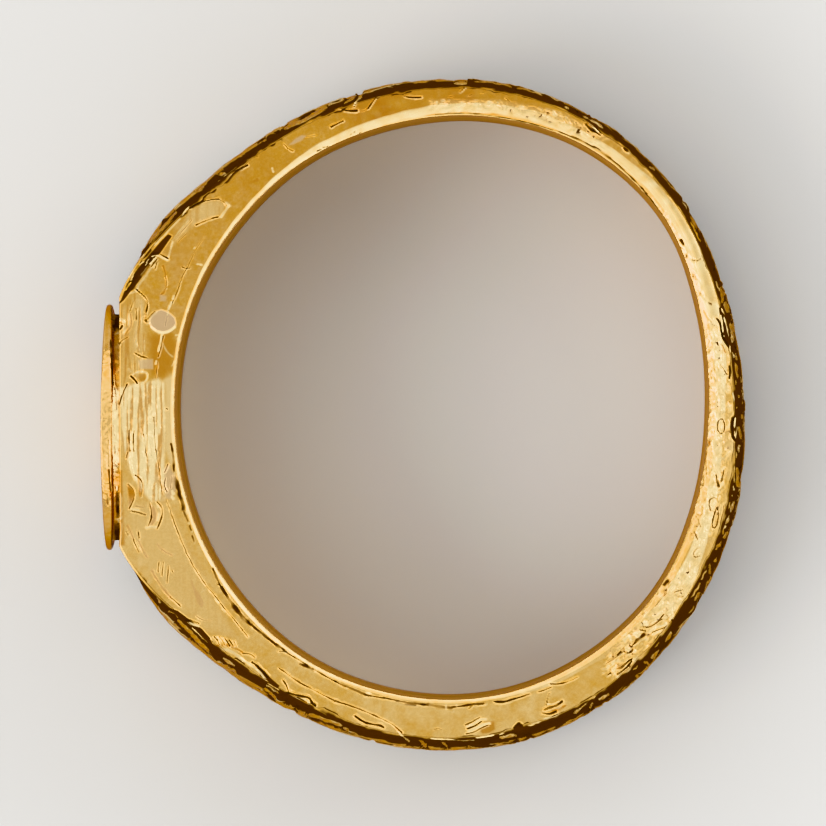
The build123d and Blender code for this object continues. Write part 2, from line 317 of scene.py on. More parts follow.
# Marks that follow the photograph, by its pixels
Stroke = namedtuple("Stroke", "look width path")
strokes = [Stroke(*row) for row in [
    # the rim of the plate and the groove behind it
    ("rub", 2.4, [(104.4, 322), (101.6, 355), (100.6, 400), (100.8, 450), (102.6, 500), (106, 538)]),
    ("rub", 1.8, [(109, 326), (109.6, 360), (110, 388)]),
    ("ridge", 1.2, [(103, 364), (107, 364.4)]),
    ("ridge", 1.6, [(106, 312), (104.6, 330), (104, 350)]),
    ("wash", 4.0, [(111.4, 338), (112.6, 362), (113.4, 380)]),
    ("stain_and_shade", 1.8, [(110.8, 340), (111.6, 362), (112.6, 384)]),
    ("stain_and_shade", 4.0, [(112.6, 304), (113.6, 318), (114.4, 330)]),
    ("hair", 1.6, [(115, 388), (116.6, 398), (117, 410)]),
    ("wash", 2.4, [(116, 408), (117.4, 424), (117.6, 440), (117.4, 456)]),
    ("hair", 1.4, [(113.6, 425), (114.6, 436)]),
    ("hair", 1.6, [(115, 446), (115.4, 453)]),
    ("hair", 1.5, [(108.6, 440), (109, 466)]),
    ("line", 1.5, [(109, 470), (110, 483), (111, 491)]),
    ("hair", 1.5, [(107, 495), (108, 505)]),
    ("wash", 5.0, [(117, 470), (118.4, 500), (118.4, 545)]),
    ("stain_and_shade", 3.4, [(117.4, 494), (118, 505), (118, 516)]),
    ("line", 1.5, [(117, 497), (117.4, 508), (117.4, 515)]),
    ("stain_and_shade", 3.4, [(118.4, 524), (118.4, 535), (117, 548)]),
    ("ridge", 2.0, [(118.4, 519), (118.6, 522)]),
    ("ridge", 2.2, [(117, 487), (117.4, 490)]),
    ("ridge", 3.0, [(124.6, 322), (122, 319.6), (119.6, 319.6)]),
    ("cut", 2.0, [(120, 329), (122.4, 325.6)]),
    ("gouge", 2.0, [(120, 322.6), (122, 323)]),
    # beside the bezel, from its upper end down
    ("cut", 1.6, [(136, 289), (141, 293.5), (147, 299), (147.6, 304), (146.3, 312)]),
    ("line", 1.4, [(146.3, 312), (145.8, 320)]),
    ("cut", 3.0, [(145.6, 320.5), (146.6, 321.5)]),
    ("cut", 1.5, [(146, 321), (150, 316), (155, 311)]),
    ("line", 1.3, [(133, 302), (131.5, 307), (130, 311)]),
    ("line", 1.4, [(136, 308), (136.5, 314), (136, 320)]),
    ("gouge", 2.2, [(130.5, 314), (131.5, 322), (130.5, 328), (126, 333), (124, 336)]),
    ("line", 1.4, [(128, 337), (121, 341), (119.5, 344)]),
    ("ridge", 2.0, [(128, 314), (129, 324), (125, 331), (122, 335)]),
    ("hair", 1.2, [(139, 300), (139.5, 318), (137, 330), (133, 342)]),
    ("glow", 2.0, [(141, 300), (142, 318), (139, 332), (134, 346)]),
    ("gouge", 2.2, [(163, 266), (165, 272), (166.3, 280), (165.6, 288), (163.5, 293), (161, 294.5)]),
    ("line", 1.0, [(165, 276), (167, 282), (166, 289)]),
    ("ridge", 2.4, [(151, 327.5), (156, 331.5), (161, 333), (167, 332.5), (171, 330.5), (175, 327)]),
    ("glow", 1.3, [(149, 321), (153, 315.5), (157, 311.5)]),
    ("hair", 1.2, [(205, 236), (200, 243), (195, 251), (191, 260), (187, 268)]),
    ("line", 1.2, [(187, 268), (183, 275), (180, 283), (178, 290), (175, 297), (172, 303)]),
    ("hair", 1.1, [(172, 303), (169, 310), (167, 318), (165, 326)]),
    ("line", 1.3, [(182, 267), (186, 268.5), (190, 268)]),
    ("ridge", 1.5, [(197, 264), (202, 265)]),
    ("ridge", 1.6, [(174, 296), (173, 299)]),
    ("ridge", 1.6, [(171.5, 302), (170.5, 305)]),
    ("ridge", 2.2, [(169.5, 306), (168, 310)]),
    ("ridge", 1.6, [(168, 312), (167.5, 315)]),
    ("ridge", 2.2, [(162, 334.5), (161, 340), (159.7, 345), (158.8, 351)]),
    ("line", 1.2, [(163.2, 336), (162, 343), (160.3, 350), (158, 357)]),
    ("ridge", 1.8, [(156.4, 361), (155.8, 364)]),
    ("line", 1.3, [(157.3, 362), (156.8, 370), (155.6, 378)]),
    ("ridge", 1.3, [(137, 344), (139, 350)]),
    ("ridge", 1.5, [(144, 340), (144.3, 350)]),
    ("line", 1.7, [(135, 353), (140, 356), (147, 358)]),
    ("ridge", 1.5, [(133.5, 374), (137, 372), (143, 371.5), (147, 373), (148, 377), (145.5, 381.5),
        (141, 383.5)]),
    ("cut", 2.0, [(131, 376), (134, 379), (137, 383)]),
    ("ridge", 2.4, [(129, 369), (130.5, 371.5)]),
    ("cut", 1.7, [(127, 384), (124, 391), (121, 398), (119.7, 404)]),
    ("glow", 1.2, [(163, 343), (165, 349), (169, 354), (173, 357)]),
    ("ridge", 1.4, [(175.5, 335), (179.5, 335.5)]),
    ("ridge", 1.2, [(177, 339), (180, 338)]),
    ("glow", 1.4, [(172, 366), (174.5, 361)]),
    ("gouge", 3.2, [(154, 411), (149, 415), (144.5, 420), (142.6, 427), (143.5, 434)]),
    ("line", 1.3, [(143.5, 434), (145, 443), (146.4, 456)]),
    ("line", 1.2, [(154, 417), (154.2, 430), (155, 445), (157, 458), (159, 468), (160.3, 478), (162, 492)]),
    ("hair", 1.2, [(150.5, 444), (151.5, 456)]),
    ("ridge", 1.4, [(150, 432), (148.5, 441), (149, 452)]),
    ("cut", 1.6, [(166.6, 408.6), (167.4, 409.6)]),
    ("line", 1.6, [(129.2, 430), (128.8, 440), (130, 451)]),
    ("line", 1.6, [(134, 431), (133.2, 440), (134, 451)]),
    ("ridge", 1.5, [(131.4, 432), (131, 442), (132, 452)]),
    ("gouge", 2.8, [(129, 452), (127, 458.5)]),
    ("line", 1.0, [(127.6, 452), (126, 458)]),
    ("ridge", 1.6, [(132, 452), (130, 460), (132, 470), (135, 480)]),
    ("line", 1.5, [(135, 475), (139.5, 478), (142.3, 482), (142.6, 488), (141, 497)]),
    ("line", 1.6, [(128, 484), (133.5, 489), (135, 494), (133, 502), (129, 509)]),
    ("line", 1.5, [(131, 511), (137, 512), (146, 515)]),
    ("ridge", 1.4, [(131, 509), (139, 510)]),
    ("hair", 1.4, [(135, 506), (144, 507.4)]),
    ("cut", 1.6, [(149.5, 503), (150.6, 508), (151.5, 514), (151, 520), (148, 526)]),
    ("ridge", 2.2, [(146, 527.5), (151, 526.6), (156, 527.2)]),
    ("line", 1.7, [(157, 502), (161, 506), (163, 512), (161, 520), (157, 529)]),
    ("ridge", 1.8, [(157.6, 506), (159.6, 512), (158, 520)]),
    ("line", 1.6, [(168, 464), (166.5, 468), (164.5, 472.5)]),
    ("line", 1.5, [(165.5, 478), (164, 486), (167, 492)]),
    ("hair", 1.6, [(172, 476), (170.5, 488)]),
    ("ridge", 2.8, [(172, 491), (173.4, 493.5)]),
    ("ridge", 2.4, [(172, 497), (173.6, 499)]),
    ("ridge", 1.8, [(163.6, 489), (164.4, 495)]),
    ("stain_and_shade", 2.2, [(171, 444), (172.8, 452), (173.6, 462), (174, 472)]),
    ("stain_and_shade", 4.6, [(175.5, 478), (178, 488), (180.5, 498), (184, 509)]),
    ("line", 1.6, [(175, 474), (177.5, 486), (180, 497), (183, 508)]),
    ("stain_and_shade", 2.4, [(184, 512), (188, 521)]),
    ("stain_and_shade", 2.0, [(189.5, 526), (191, 530)]),
    ("stain_and_shade", 2.0, [(192, 536), (194, 541)]),
    ("line", 1.3, [(166, 500), (169, 507), (172, 516), (176, 528), (181, 540), (186, 552), (191, 562)]),
    ("gouge", 2.4, [(127.5, 526), (130.6, 532), (133, 538)]),
    ("line", 1.6, [(133.5, 539), (136, 547), (139, 552)]),
    ("gouge", 2.6, [(138.4, 541), (142, 549), (147, 557)]),
    ("cut", 1.8, [(138.4, 532), (139, 538)]),
    ("line", 1.6, [(126, 531), (128, 535)]),
    ("gouge", 1.9, [(157, 544), (161, 549), (166, 552.4), (172, 555)]),
    # the upper shoulder
    ("stain_and_shade", 4.4, [(151, 262), (144, 272), (137, 281), (131, 289)]),
    ("cut", 2.6, [(146, 262), (138, 273), (131, 283), (126, 291)]),
    ("gouge", 2.0, [(142, 271), (137, 278), (132, 286)]),
    ("cut", 1.5, [(190, 208), (196, 204), (203, 201.5), (211, 199.6), (219, 199)]),
    ("line", 1.4, [(219, 199.5), (224, 202), (227, 206)]),
    ("ridge", 2.4, [(229, 206), (225, 211), (221, 217)]),
    ("glow", 3.0, [(226, 203), (230, 206)]),
    ("line", 1.7, [(218, 217), (213, 218), (205, 221), (196, 225)]),
    ("hair", 1.3, [(192, 220), (184, 229), (176, 239)]),
    ("glow", 1.6, [(188, 221), (180, 230), (172, 241)]),
    ("hair", 1.3, [(186, 234), (178, 242)]),
    ("cut", 2.0, [(152, 254), (158, 252.5), (163, 256), (168, 258.5)]),
    ("ridge", 1.8, [(152, 256.5), (158, 255), (164, 259), (168, 260.4)]),
    ("ridge", 1.6, [(168.6, 257), (171, 248), (172.5, 242)]),
    ("line", 1.4, [(148, 262), (155, 256)]),
    ("line", 1.4, [(151, 267), (157, 259)]),
    ("ridge", 1.4, [(150, 264), (156, 257.6)]),
    ("line", 1.2, [(155, 269), (157, 262)]),
    ("ridge", 1.4, [(193.5, 249), (195, 247.4)]),
    ("cut", 1.8, [(220, 180), (230, 173), (240, 169), (248, 165)]),
    ("line", 1.5, [(231, 168), (237, 162), (244, 160)]),
    ("hair", 1.5, [(252, 152), (258, 157)]),
    ("wash", 4.0, [(250, 183), (257, 180)]),
    ("ridge", 1.4, [(272, 168), (273.4, 172)]),
    ("line", 1.6, [(284, 144), (288, 149), (293, 151)]),
    ("hair", 1.3, [(306, 137), (316, 135)]),
    ("line", 1.5, [(331, 127), (337, 124), (343, 121)]),
    ("cut", 2.0, [(339, 107.5), (346, 110.6), (352, 111), (357, 110.4)]),
    ("line", 1.5, [(354, 107), (356, 101), (361, 96)]),
    ("cut", 1.7, [(368, 108.5), (373, 101), (379, 94)]),
    ("gouge", 1.8, [(357, 111), (364, 111), (368, 108.5)]),
    ("cut", 1.5, [(404, 96), (410, 97.5), (421, 97.5)]),
    ("line", 1.4, [(460, 92), (465, 87)]),
    ("hair", 1.6, [(449, 97), (452, 96)]),
    ("hair", 1.6, [(469, 96), (472, 94)]),
    ("hair", 1.4, [(482, 93), (487, 90)]),
    ("hair", 1.4, [(506, 98), (510, 102)]),
    ("cut", 1.6, [(350, 134.4), (352, 133.4)]),
    ("cut", 1.6, [(353.6, 132.6), (355, 132)]),
    ("cut", 1.8, [(359, 133.4), (361, 132.4)]),
    ("line", 1.8, [(323, 147.4), (328, 146.4)]),
    ("line", 1.6, [(317, 151), (321, 149.4)]),
    ("cut", 3.0, [(586, 124), (590, 129), (594, 131)]),
    ("ridge", 1.8, [(590, 124.5), (595, 129), (599, 132.5)]),
    ("cut", 1.6, [(589, 121), (595, 126), (601, 133)]),
    ("cut", 1.6, [(594, 131), (600, 135)]),
    ("stain_and_shade", 3.4, [(624, 148), (627, 150.4)]),
    # the lip along the hole, above
    ("line", 1.5, [(436, 114.6), (455, 113.2), (470, 113.4), (485, 114.6), (500, 117)]),
    ("cut", 1.5, [(500, 117), (520, 120.8), (540, 126), (560, 132), (580, 139.6), (600, 150)]),
    ("cut", 1.8, [(600, 150), (620, 166), (637, 183), (648, 195), (660, 212), (672, 232)]),
    ("line", 1.4, [(672, 232), (680, 250)]),
    # the back
    ("line", 1.6, [(693, 260), (698, 261.2), (701.6, 259)]),
    ("stain_and_shade", 2.8, [(681, 240), (683.6, 244)]),
    ("stain_and_shade", 2.0, [(709, 303), (711, 304)]),
    ("hair", 1.4, [(704, 311), (708, 318), (712, 322)]),
    ("cut", 2.0, [(716, 318), (719.6, 322), (721.4, 330), (722.4, 338), (727, 344)]),
    ("hair", 1.5, [(715, 361), (719.6, 359)]),
    ("line", 1.5, [(721, 365), (724, 370), (727, 374.6)]),
    ("cut", 1.8, [(729.4, 366), (730.4, 372), (729.4, 378)]),
    ("gouge", 1.8, [(722, 345), (725, 352)]),
    ("line", 1.3, [(722.6, 418.6), (718.6, 420), (717, 426), (718.4, 432), (722, 433.6)]),
    ("line", 1.2, [(722.6, 418.6), (724.6, 424), (724.6, 430), (722, 433.6)]),
    ("glow", 3.0, [(721, 422), (721, 430)]),
    ("cut", 2.6, [(733, 418), (731, 425), (731.6, 434), (735, 440)]),
    ("cut", 1.8, [(716, 475), (717.6, 482), (719, 486)]),
    ("line", 1.7, [(724, 470), (722.6, 477), (721, 482)]),
    ("ridge", 1.6, [(720, 471), (719.6, 480)]),
    ("line", 1.5, [(711, 511), (709, 505), (709.4, 500), (713, 497.6), (717.6, 498.2)]),
    ("line", 1.3, [(716.4, 508), (713, 518), (712, 526), (714.4, 529.4), (717.6, 523), (719, 512),
        (716.4, 508)]),
    ("hair", 1.7, [(724, 505), (722.4, 515), (720, 523)]),
    ("line", 1.9, [(694.6, 532), (697.4, 539)]),
    ("hair", 1.5, [(698, 519), (701, 527)]),
    ("line", 1.3, [(700, 548), (696, 549), (693, 554), (695.4, 557.4), (700.6, 556)]),
    ("gouge", 1.6, [(718.4, 536), (717.4, 540)]),
    ("cut", 1.7, [(698, 483), (703, 485.4)]),
    ("ridge", 1.6, [(699, 481), (702, 482)]),
    ("stain_and_shade", 3.4, [(664, 585), (668, 581)]),
    ("hair", 1.3, [(674, 594), (680, 598), (684, 596)]),
    ("hair", 1.2, [(655, 607), (667, 592)]),
    ("line", 1.3, [(675, 592), (682, 590)]),
    ("line", 1.6, [(660, 619), (664, 613.6), (667.6, 616)]),
    ("cut", 2.4, [(672, 620), (675.4, 623.4)]),
    # the lower back, beaded and hatched
    ("ridge", 5.4, [(627, 648.6), (628.6, 649.4)]),
    ("line", 1.5, [(623.6, 647), (625, 652.6), (630, 653.4), (633, 649)]),
    ("ridge", 4.6, [(645.6, 622.6), (647, 624)]),
    ("line", 1.5, [(642, 622), (644, 627.4), (650, 627)]),
    ("stain_and_shade", 3.4, [(637, 640), (644, 634.6)]),
    ("ridge", 2.6, [(634, 634), (640, 631.6)]),
    ("ridge", 2.2, [(631, 640), (629, 635.6)]),
    ("line", 1.6, [(632.6, 645), (636, 642)]),
    ("line", 1.4, [(640, 630), (646, 631)]),
    ("ridge", 2.4, [(651, 630), (658, 627), (665, 625)]),
    ("line", 1.4, [(652, 632.4), (659, 629.6), (665, 627.4)]),
    ("ridge", 1.8, [(653, 634), (661, 631.4)]),
    ("line", 1.4, [(650, 627), (657, 622.6), (662, 619)]),
    ("ridge", 1.6, [(653, 623), (659, 618.6)]),
    ("cut", 1.7, [(616, 669), (622, 668), (627, 662), (632, 659)]),
    ("cut", 1.7, [(617, 674.4), (622, 671.6), (627, 667), (632, 661)]),
    ("ridge", 2.0, [(617, 677.4), (625, 674.4), (633, 667), (635.4, 660)]),
    ("hair", 1.4, [(606, 664), (612, 660), (620, 655), (624, 651)]),
    ("stain_and_shade", 2.2, [(617.6, 655), (620.6, 652)]),
    ("stain_and_shade", 1.8, [(607.6, 675), (610.6, 673)]),
    ("line", 1.3, [(550, 684), (560, 684), (570, 681), (578, 677)]),
    ("line", 1.4, [(549.6, 693), (547.4, 698), (547, 705)]),
    ("cut", 2.4, [(544, 710), (550, 707.4), (556, 706), (562, 701.6)]),
    ("ridge", 1.6, [(548, 704), (553, 704.6), (559, 701.4)]),
    ("gouge", 3.4, [(552, 711), (558, 709.6), (565, 706)]),
    ("cut", 2.2, [(542.6, 713), (549, 714.4), (556, 711.4)]),
    ("ridge", 2.6, [(545, 718.6), (553, 718), (560, 715)]),
    ("cut", 2.6, [(513, 731.4), (515.6, 725.6), (519, 722.4), (522, 726), (525, 729)]),
    ("ridge", 2.0, [(514.6, 733), (520, 732), (525.4, 729.4)]),
    # the bottom and the inner rim there
    ("line", 1.6, [(466, 725), (474, 721), (480, 717.4)]),
    ("ridge", 2.4, [(468, 726.4), (474, 724), (480, 719.4), (486, 719)]),
    ("cut", 1.5, [(468, 728.6), (476, 725.6), (481, 721.6)]),
    ("ridge", 3.0, [(469, 731.4), (477, 727.6), (485, 724.4), (490, 723.4)]),
    ("line", 1.5, [(466, 734), (474, 732.4), (480, 728.4), (488, 725)]),
    ("hair", 1.6, [(434, 730), (438, 728), (442, 730)]),
    ("stain_and_shade", 2.6, [(396, 700.6), (410, 703), (424, 704.4)]),
    ("stain_and_shade", 3.4, [(428, 704.4), (440, 706.8), (452, 708.4)]),
    ("stain_and_shade", 2.4, [(452, 707.4), (462, 706), (472, 704.4), (484, 703.2)]),
    ("stain_and_shade", 2.2, [(496, 701.4), (506, 701.8), (516, 698.6)]),
    ("ridge", 2.2, [(445.6, 705), (446.6, 709.6)]),
    ("ridge", 2.0, [(457, 704.4), (457.6, 708.6)]),
    ("stain_and_shade", 2.0, [(405, 704), (416, 705.4)]),
    ("line", 1.8, [(469, 708.6), (474, 703.6)]),
    ("line", 1.6, [(478, 705), (484, 704)]),
    ("cut", 1.6, [(494, 701.6), (503, 702.4), (512, 699.4), (520, 697.4), (530, 694)]),
    ("line", 1.6, [(538, 692), (545, 690), (551, 687.4)]),
    ("line", 1.5, [(383, 697.6), (400, 701), (413, 704), (428, 704.6)]),
    ("stain_and_shade", 2.4, [(335, 681.4), (345, 686), (355, 690), (365, 694.4)]),
    ("line", 1.5, [(313, 669), (325, 676), (336, 682), (346, 687)]),
    ("line", 1.4, [(365, 695), (375, 696.6), (385, 698.4)]),
    ("ridge", 1.6, [(367, 692.6), (369.6, 693.6)]),
    ("stain_and_shade", 3.0, [(300, 664), (306, 666), (313, 669.6)]),
    ("line", 1.5, [(284, 651), (292, 656), (302, 662), (313, 669)]),
    ("line", 1.6, [(279, 651.4), (286, 651.6)]),
    ("stain_and_shade", 4.6, [(232, 604), (238, 612), (245, 620), (251, 625)]),
    ("stain_and_shade", 2.8, [(213, 569), (217, 579), (222, 589), (228, 598), (234, 606)]),
    ("stain_and_shade", 3.0, [(249, 623), (256, 629), (265, 636), (275, 644), (284, 650)]),
    ("line", 1.5, [(222, 586), (228, 596), (236, 607), (243, 616), (250, 623.6)]),
    ("line", 1.5, [(216.6, 584), (221, 586)]),
    ("line", 1.5, [(191, 562), (200, 577), (208, 588), (215, 596)]),
    ("line", 1.3, [(215, 596), (224, 608), (236, 622), (248, 637)]),
    ("ridge", 1.5, [(215.4, 599), (218.6, 603)]),
    ("ridge", 1.3, [(222.4, 609), (225.4, 612.4)]),
    ("line", 1.4, [(279, 668), (290, 676), (300, 683), (312, 689), (325, 696), (335, 701)]),
    ("line", 1.6, [(335, 701), (348, 705), (362, 710), (378, 717), (390, 723), (396, 727), (402, 733)]),
    ("cut", 2.0, [(355, 716), (362, 721), (370, 724), (380, 725.4), (384, 727.6)]),
    ("ridge", 1.6, [(360, 729.4), (366, 732), (371, 734)]),
    ("gouge", 2.6, [(396, 727.6), (401, 733), (407, 741)]),
    # the lower shoulder
    ("ridge", 2.4, [(240, 659), (250, 664), (260, 672), (267, 682)]),
    ("line", 1.4, [(159, 562), (158, 572)]),
    ("line", 1.4, [(163.4, 562), (162, 576)]),
    ("line", 1.4, [(168.6, 566), (167, 583)]),
    ("line", 1.3, [(172.4, 571), (173, 573)]),
    ("gouge", 2.8, [(152, 571), (157, 580), (163, 588.6), (170, 597)]),
    ("line", 1.5, [(170, 597), (175, 601), (180.6, 606)]),
    ("glow", 1.4, [(201, 592.4), (205.6, 589)]),
    ("hair", 1.5, [(196, 616), (202, 620), (211, 621)]),
    ("line", 1.6, [(184, 620.6), (190, 620), (199, 623.4)]),
    ("ridge", 2.2, [(187, 623), (193, 624.4), (199, 626.6)]),
    ("line", 1.6, [(214, 636.4), (217.6, 640), (219.6, 645)]),
    ("line", 1.6, [(219, 636.4), (222.6, 640.6), (224.6, 645)]),
    ("line", 1.7, [(224.6, 638), (227.6, 642), (230, 646)]),
    ("line", 1.6, [(229, 640), (233.4, 646)]),
    ("line", 1.5, [(234, 641.6), (236.4, 646)]),
    ("ridge", 1.5, [(217, 637), (221, 641.6)]),
    ("ridge", 1.5, [(222, 637.4), (226, 642.4)]),
    ("gouge", 3.0, [(214, 646.6), (225, 644.6), (234, 647), (242, 652)]),
    ("ridge", 3.4, [(212, 650), (224, 648.6), (234, 652.4), (243, 660.4)]),
    ("line", 1.7, [(243, 653.4), (250, 653.6), (255, 657.4)]),
    ("cut", 2.0, [(252, 662), (260, 668), (268, 677)]),
    ("gouge", 4.6, [(256, 667), (262, 673), (268, 680)]),
    ("line", 1.9, [(283, 680), (287, 686), (288.6, 692.6)]),
    ("cut", 2.0, [(286, 692.4), (296, 695), (306, 697), (310.6, 698.6), (312, 703.4), (316, 705.4)]),
    ("ridge", 1.9, [(288, 697), (300, 698.4), (308, 700), (309.6, 707)]),
]]

# soft is the width in pixels over which an area fades in from its outline
Area = namedtuple("Area", "look soft outline")
areas = [Area(*row) for row in [
    ("beaten", 10, [(600, 672), (612, 648), (640, 615), (664, 585), (682, 560), (700, 560), (704, 580),
        (690, 606), (668, 632), (640, 660), (618, 682)]),
    ("beaten", 8, [(694, 470), (704, 400), (704, 330), (716, 320), (726, 350), (732, 420), (726, 480),
        (716, 530), (700, 556), (690, 548)]),
    ("beaten", 6, [(640, 184), (668, 214), (690, 256), (706, 300), (700, 306), (682, 262), (662, 226),
        (634, 190)]),
    ("beaten", 6, [(430, 100), (500, 100), (560, 112), (610, 138), (600, 146), (556, 126), (500, 112),
        (430, 112)]),
    ("pale", 3, [(101, 330), (107, 310), (110.6, 330), (111.6, 390), (112.6, 440), (113, 500), (110, 542),
        (105, 530), (101, 480), (99, 400)]),
    ("filed", 6, [(101, 372), (118, 392), (119, 462), (113, 478), (103, 470), (100, 420)]),
    ("beaten", 8, [(100, 385), (110, 388), (118, 400), (118, 470), (112, 500), (103, 500), (100, 450)]),
    ("gouge", 2, [(113, 330), (119.4, 330), (119, 388), (117, 394), (115, 380)]),
    ("stain_and_shade", 2, [(110.6, 302), (119, 304), (119.6, 318), (112, 318)]),
    ("dark", 2.4, [(112, 310), (121, 300), (127, 284), (138, 268), (150, 254), (161, 241), (168, 234),
        (172, 236), (161, 252), (150, 263), (141, 274), (134, 287), (124, 300)]),
    ("dark", 1.6, [(719, 308), (724, 306), (732, 324), (737, 346), (731, 350), (727.4, 347), (722.4, 339),
        (721, 332), (720, 318)]),
    ("dark", 1.6, [(735, 412), (741, 412), (742, 442), (736, 442), (732, 438), (731, 430), (732.4, 421)]),
    ("dark", 1.6, [(730, 495), (736, 495), (732, 520), (726, 545), (716, 558), (714, 552), (720, 539),
        (724.4, 526), (728, 512)]),
    ("dark", 1.6, [(162, 604), (170, 608), (178, 611), (186, 617), (194, 623), (202, 629), (210, 638),
        (214, 648), (212, 657), (198, 648), (180, 632), (164, 615)]),
    ("dark", 1.6, [(213, 651.6), (222, 652.4), (231, 657), (238, 662), (244, 669), (250, 677), (258, 684),
        (258, 694), (244, 686), (236, 674), (226, 664), (214, 660)]),
    ("stain_and_shade", 2.0, [(256, 666), (263, 670), (272, 679), (280, 686), (276, 690), (268, 682), (260, 676)]),
    ("wash", 3, [(114, 470), (122, 470), (125, 545), (115, 548), (113, 510)]),
    ("grained", 12, [(120, 310), (136, 292), (147, 300), (147, 330), (146, 352), (146, 372), (132, 384),
        (119, 388)]),
    ("pale", 8, [(134, 296), (144, 300), (145, 326), (139, 346), (133, 362), (130, 340), (134, 318)]),
    ("wash", 12, [(148, 335), (172, 330), (178, 345), (172, 372), (160, 380), (150, 372)]),
    ("filed", 7, [(120, 388), (134, 384), (148, 382), (158, 379), (165, 383), (166, 420), (164, 470),
        (165, 500), (152, 502), (140, 490), (130, 470), (121, 440)]),
    ("glow", 6, [(163, 380), (174, 373), (175.4, 400), (176.4, 430), (178, 455), (171, 468), (165, 450)]),
    ("smooth", 16, [(124, 500), (170, 498), (190, 545), (212, 590), (240, 640), (205, 632), (160, 590),
        (128, 545)]),
    ("press", 2.0, [(148.5, 321), (152, 315), (157, 311), (161, 309.5), (166, 311), (171, 314), (175, 318),
        (176, 323), (175, 327.5), (172, 330.5), (167, 332.5), (162, 333), (156, 331), (151, 327)]),
    ("rub", 3.0, [(160, 295), (166, 296), (166, 301), (160, 301)]),
    ("rub", 2.0, [(138, 360), (153, 359), (153, 369), (140, 369)]),
    ("wash", 2.0, [(137, 375), (145, 374), (146, 380), (140, 382)]),
    ("gouge", 1.6, [(127, 384), (130, 385), (129, 398), (125, 401), (120, 404), (121, 399), (125, 390)]),
    ("gouge", 1.6, [(152, 402), (156, 404), (157, 408), (154, 411), (151, 407)]),
    ("gouge", 1.5, [(146, 459.4), (153, 458.4), (153, 464), (148, 465)]),
    ("wash", 2.0, [(148, 464), (153, 463), (151.6, 473), (152, 480), (149, 473)]),
    ("gouge", 1.5, [(135, 475), (139, 477), (142, 481), (142.5, 487), (141, 494), (139.5, 498), (138, 490),
        (139, 483)]),
    ("gouge", 1.5, [(127, 484), (130, 486), (134, 490), (134.5, 495), (133, 501), (130, 506), (128.5, 510),
        (129, 500), (128, 492)]),
    ("gouge", 1.5, [(150, 504), (155, 508), (157, 514), (156, 521), (152, 526), (148, 527), (151, 520),
        (151.5, 512)]),
    ("rub", 4.0, [(163, 470), (168, 464), (175, 475), (176, 490), (172, 500), (166, 498), (163, 485)]),
    ("pale", 8, [(190, 210), (200, 203), (212, 200), (220, 200), (226, 205), (222, 213), (216, 217),
        (205, 221), (196, 225), (180, 238), (172, 245), (180, 228)]),
    ("rub", 2.5, [(289, 145), (295, 139), (302, 135), (306, 136), (302, 140), (294, 144)]),
    ("pale", 3.0, [(224, 177), (232, 168), (240, 162), (247, 164), (238, 169)]),
    ("wash", 2.0, [(190, 577), (193, 584), (196, 590), (200, 594), (204, 603), (202, 608), (198, 604),
        (194, 593)]),
    ("wash", 2.5, [(478, 727), (486, 722), (494, 721), (495, 729), (490, 733), (482, 734)]),
    ("pit", 1.5, [(514, 731), (517, 725), (519, 723), (522, 727), (523, 730)]),
    ("wash", 2.0, [(293, 700), (307, 701), (308, 706), (300, 704)]),
]]
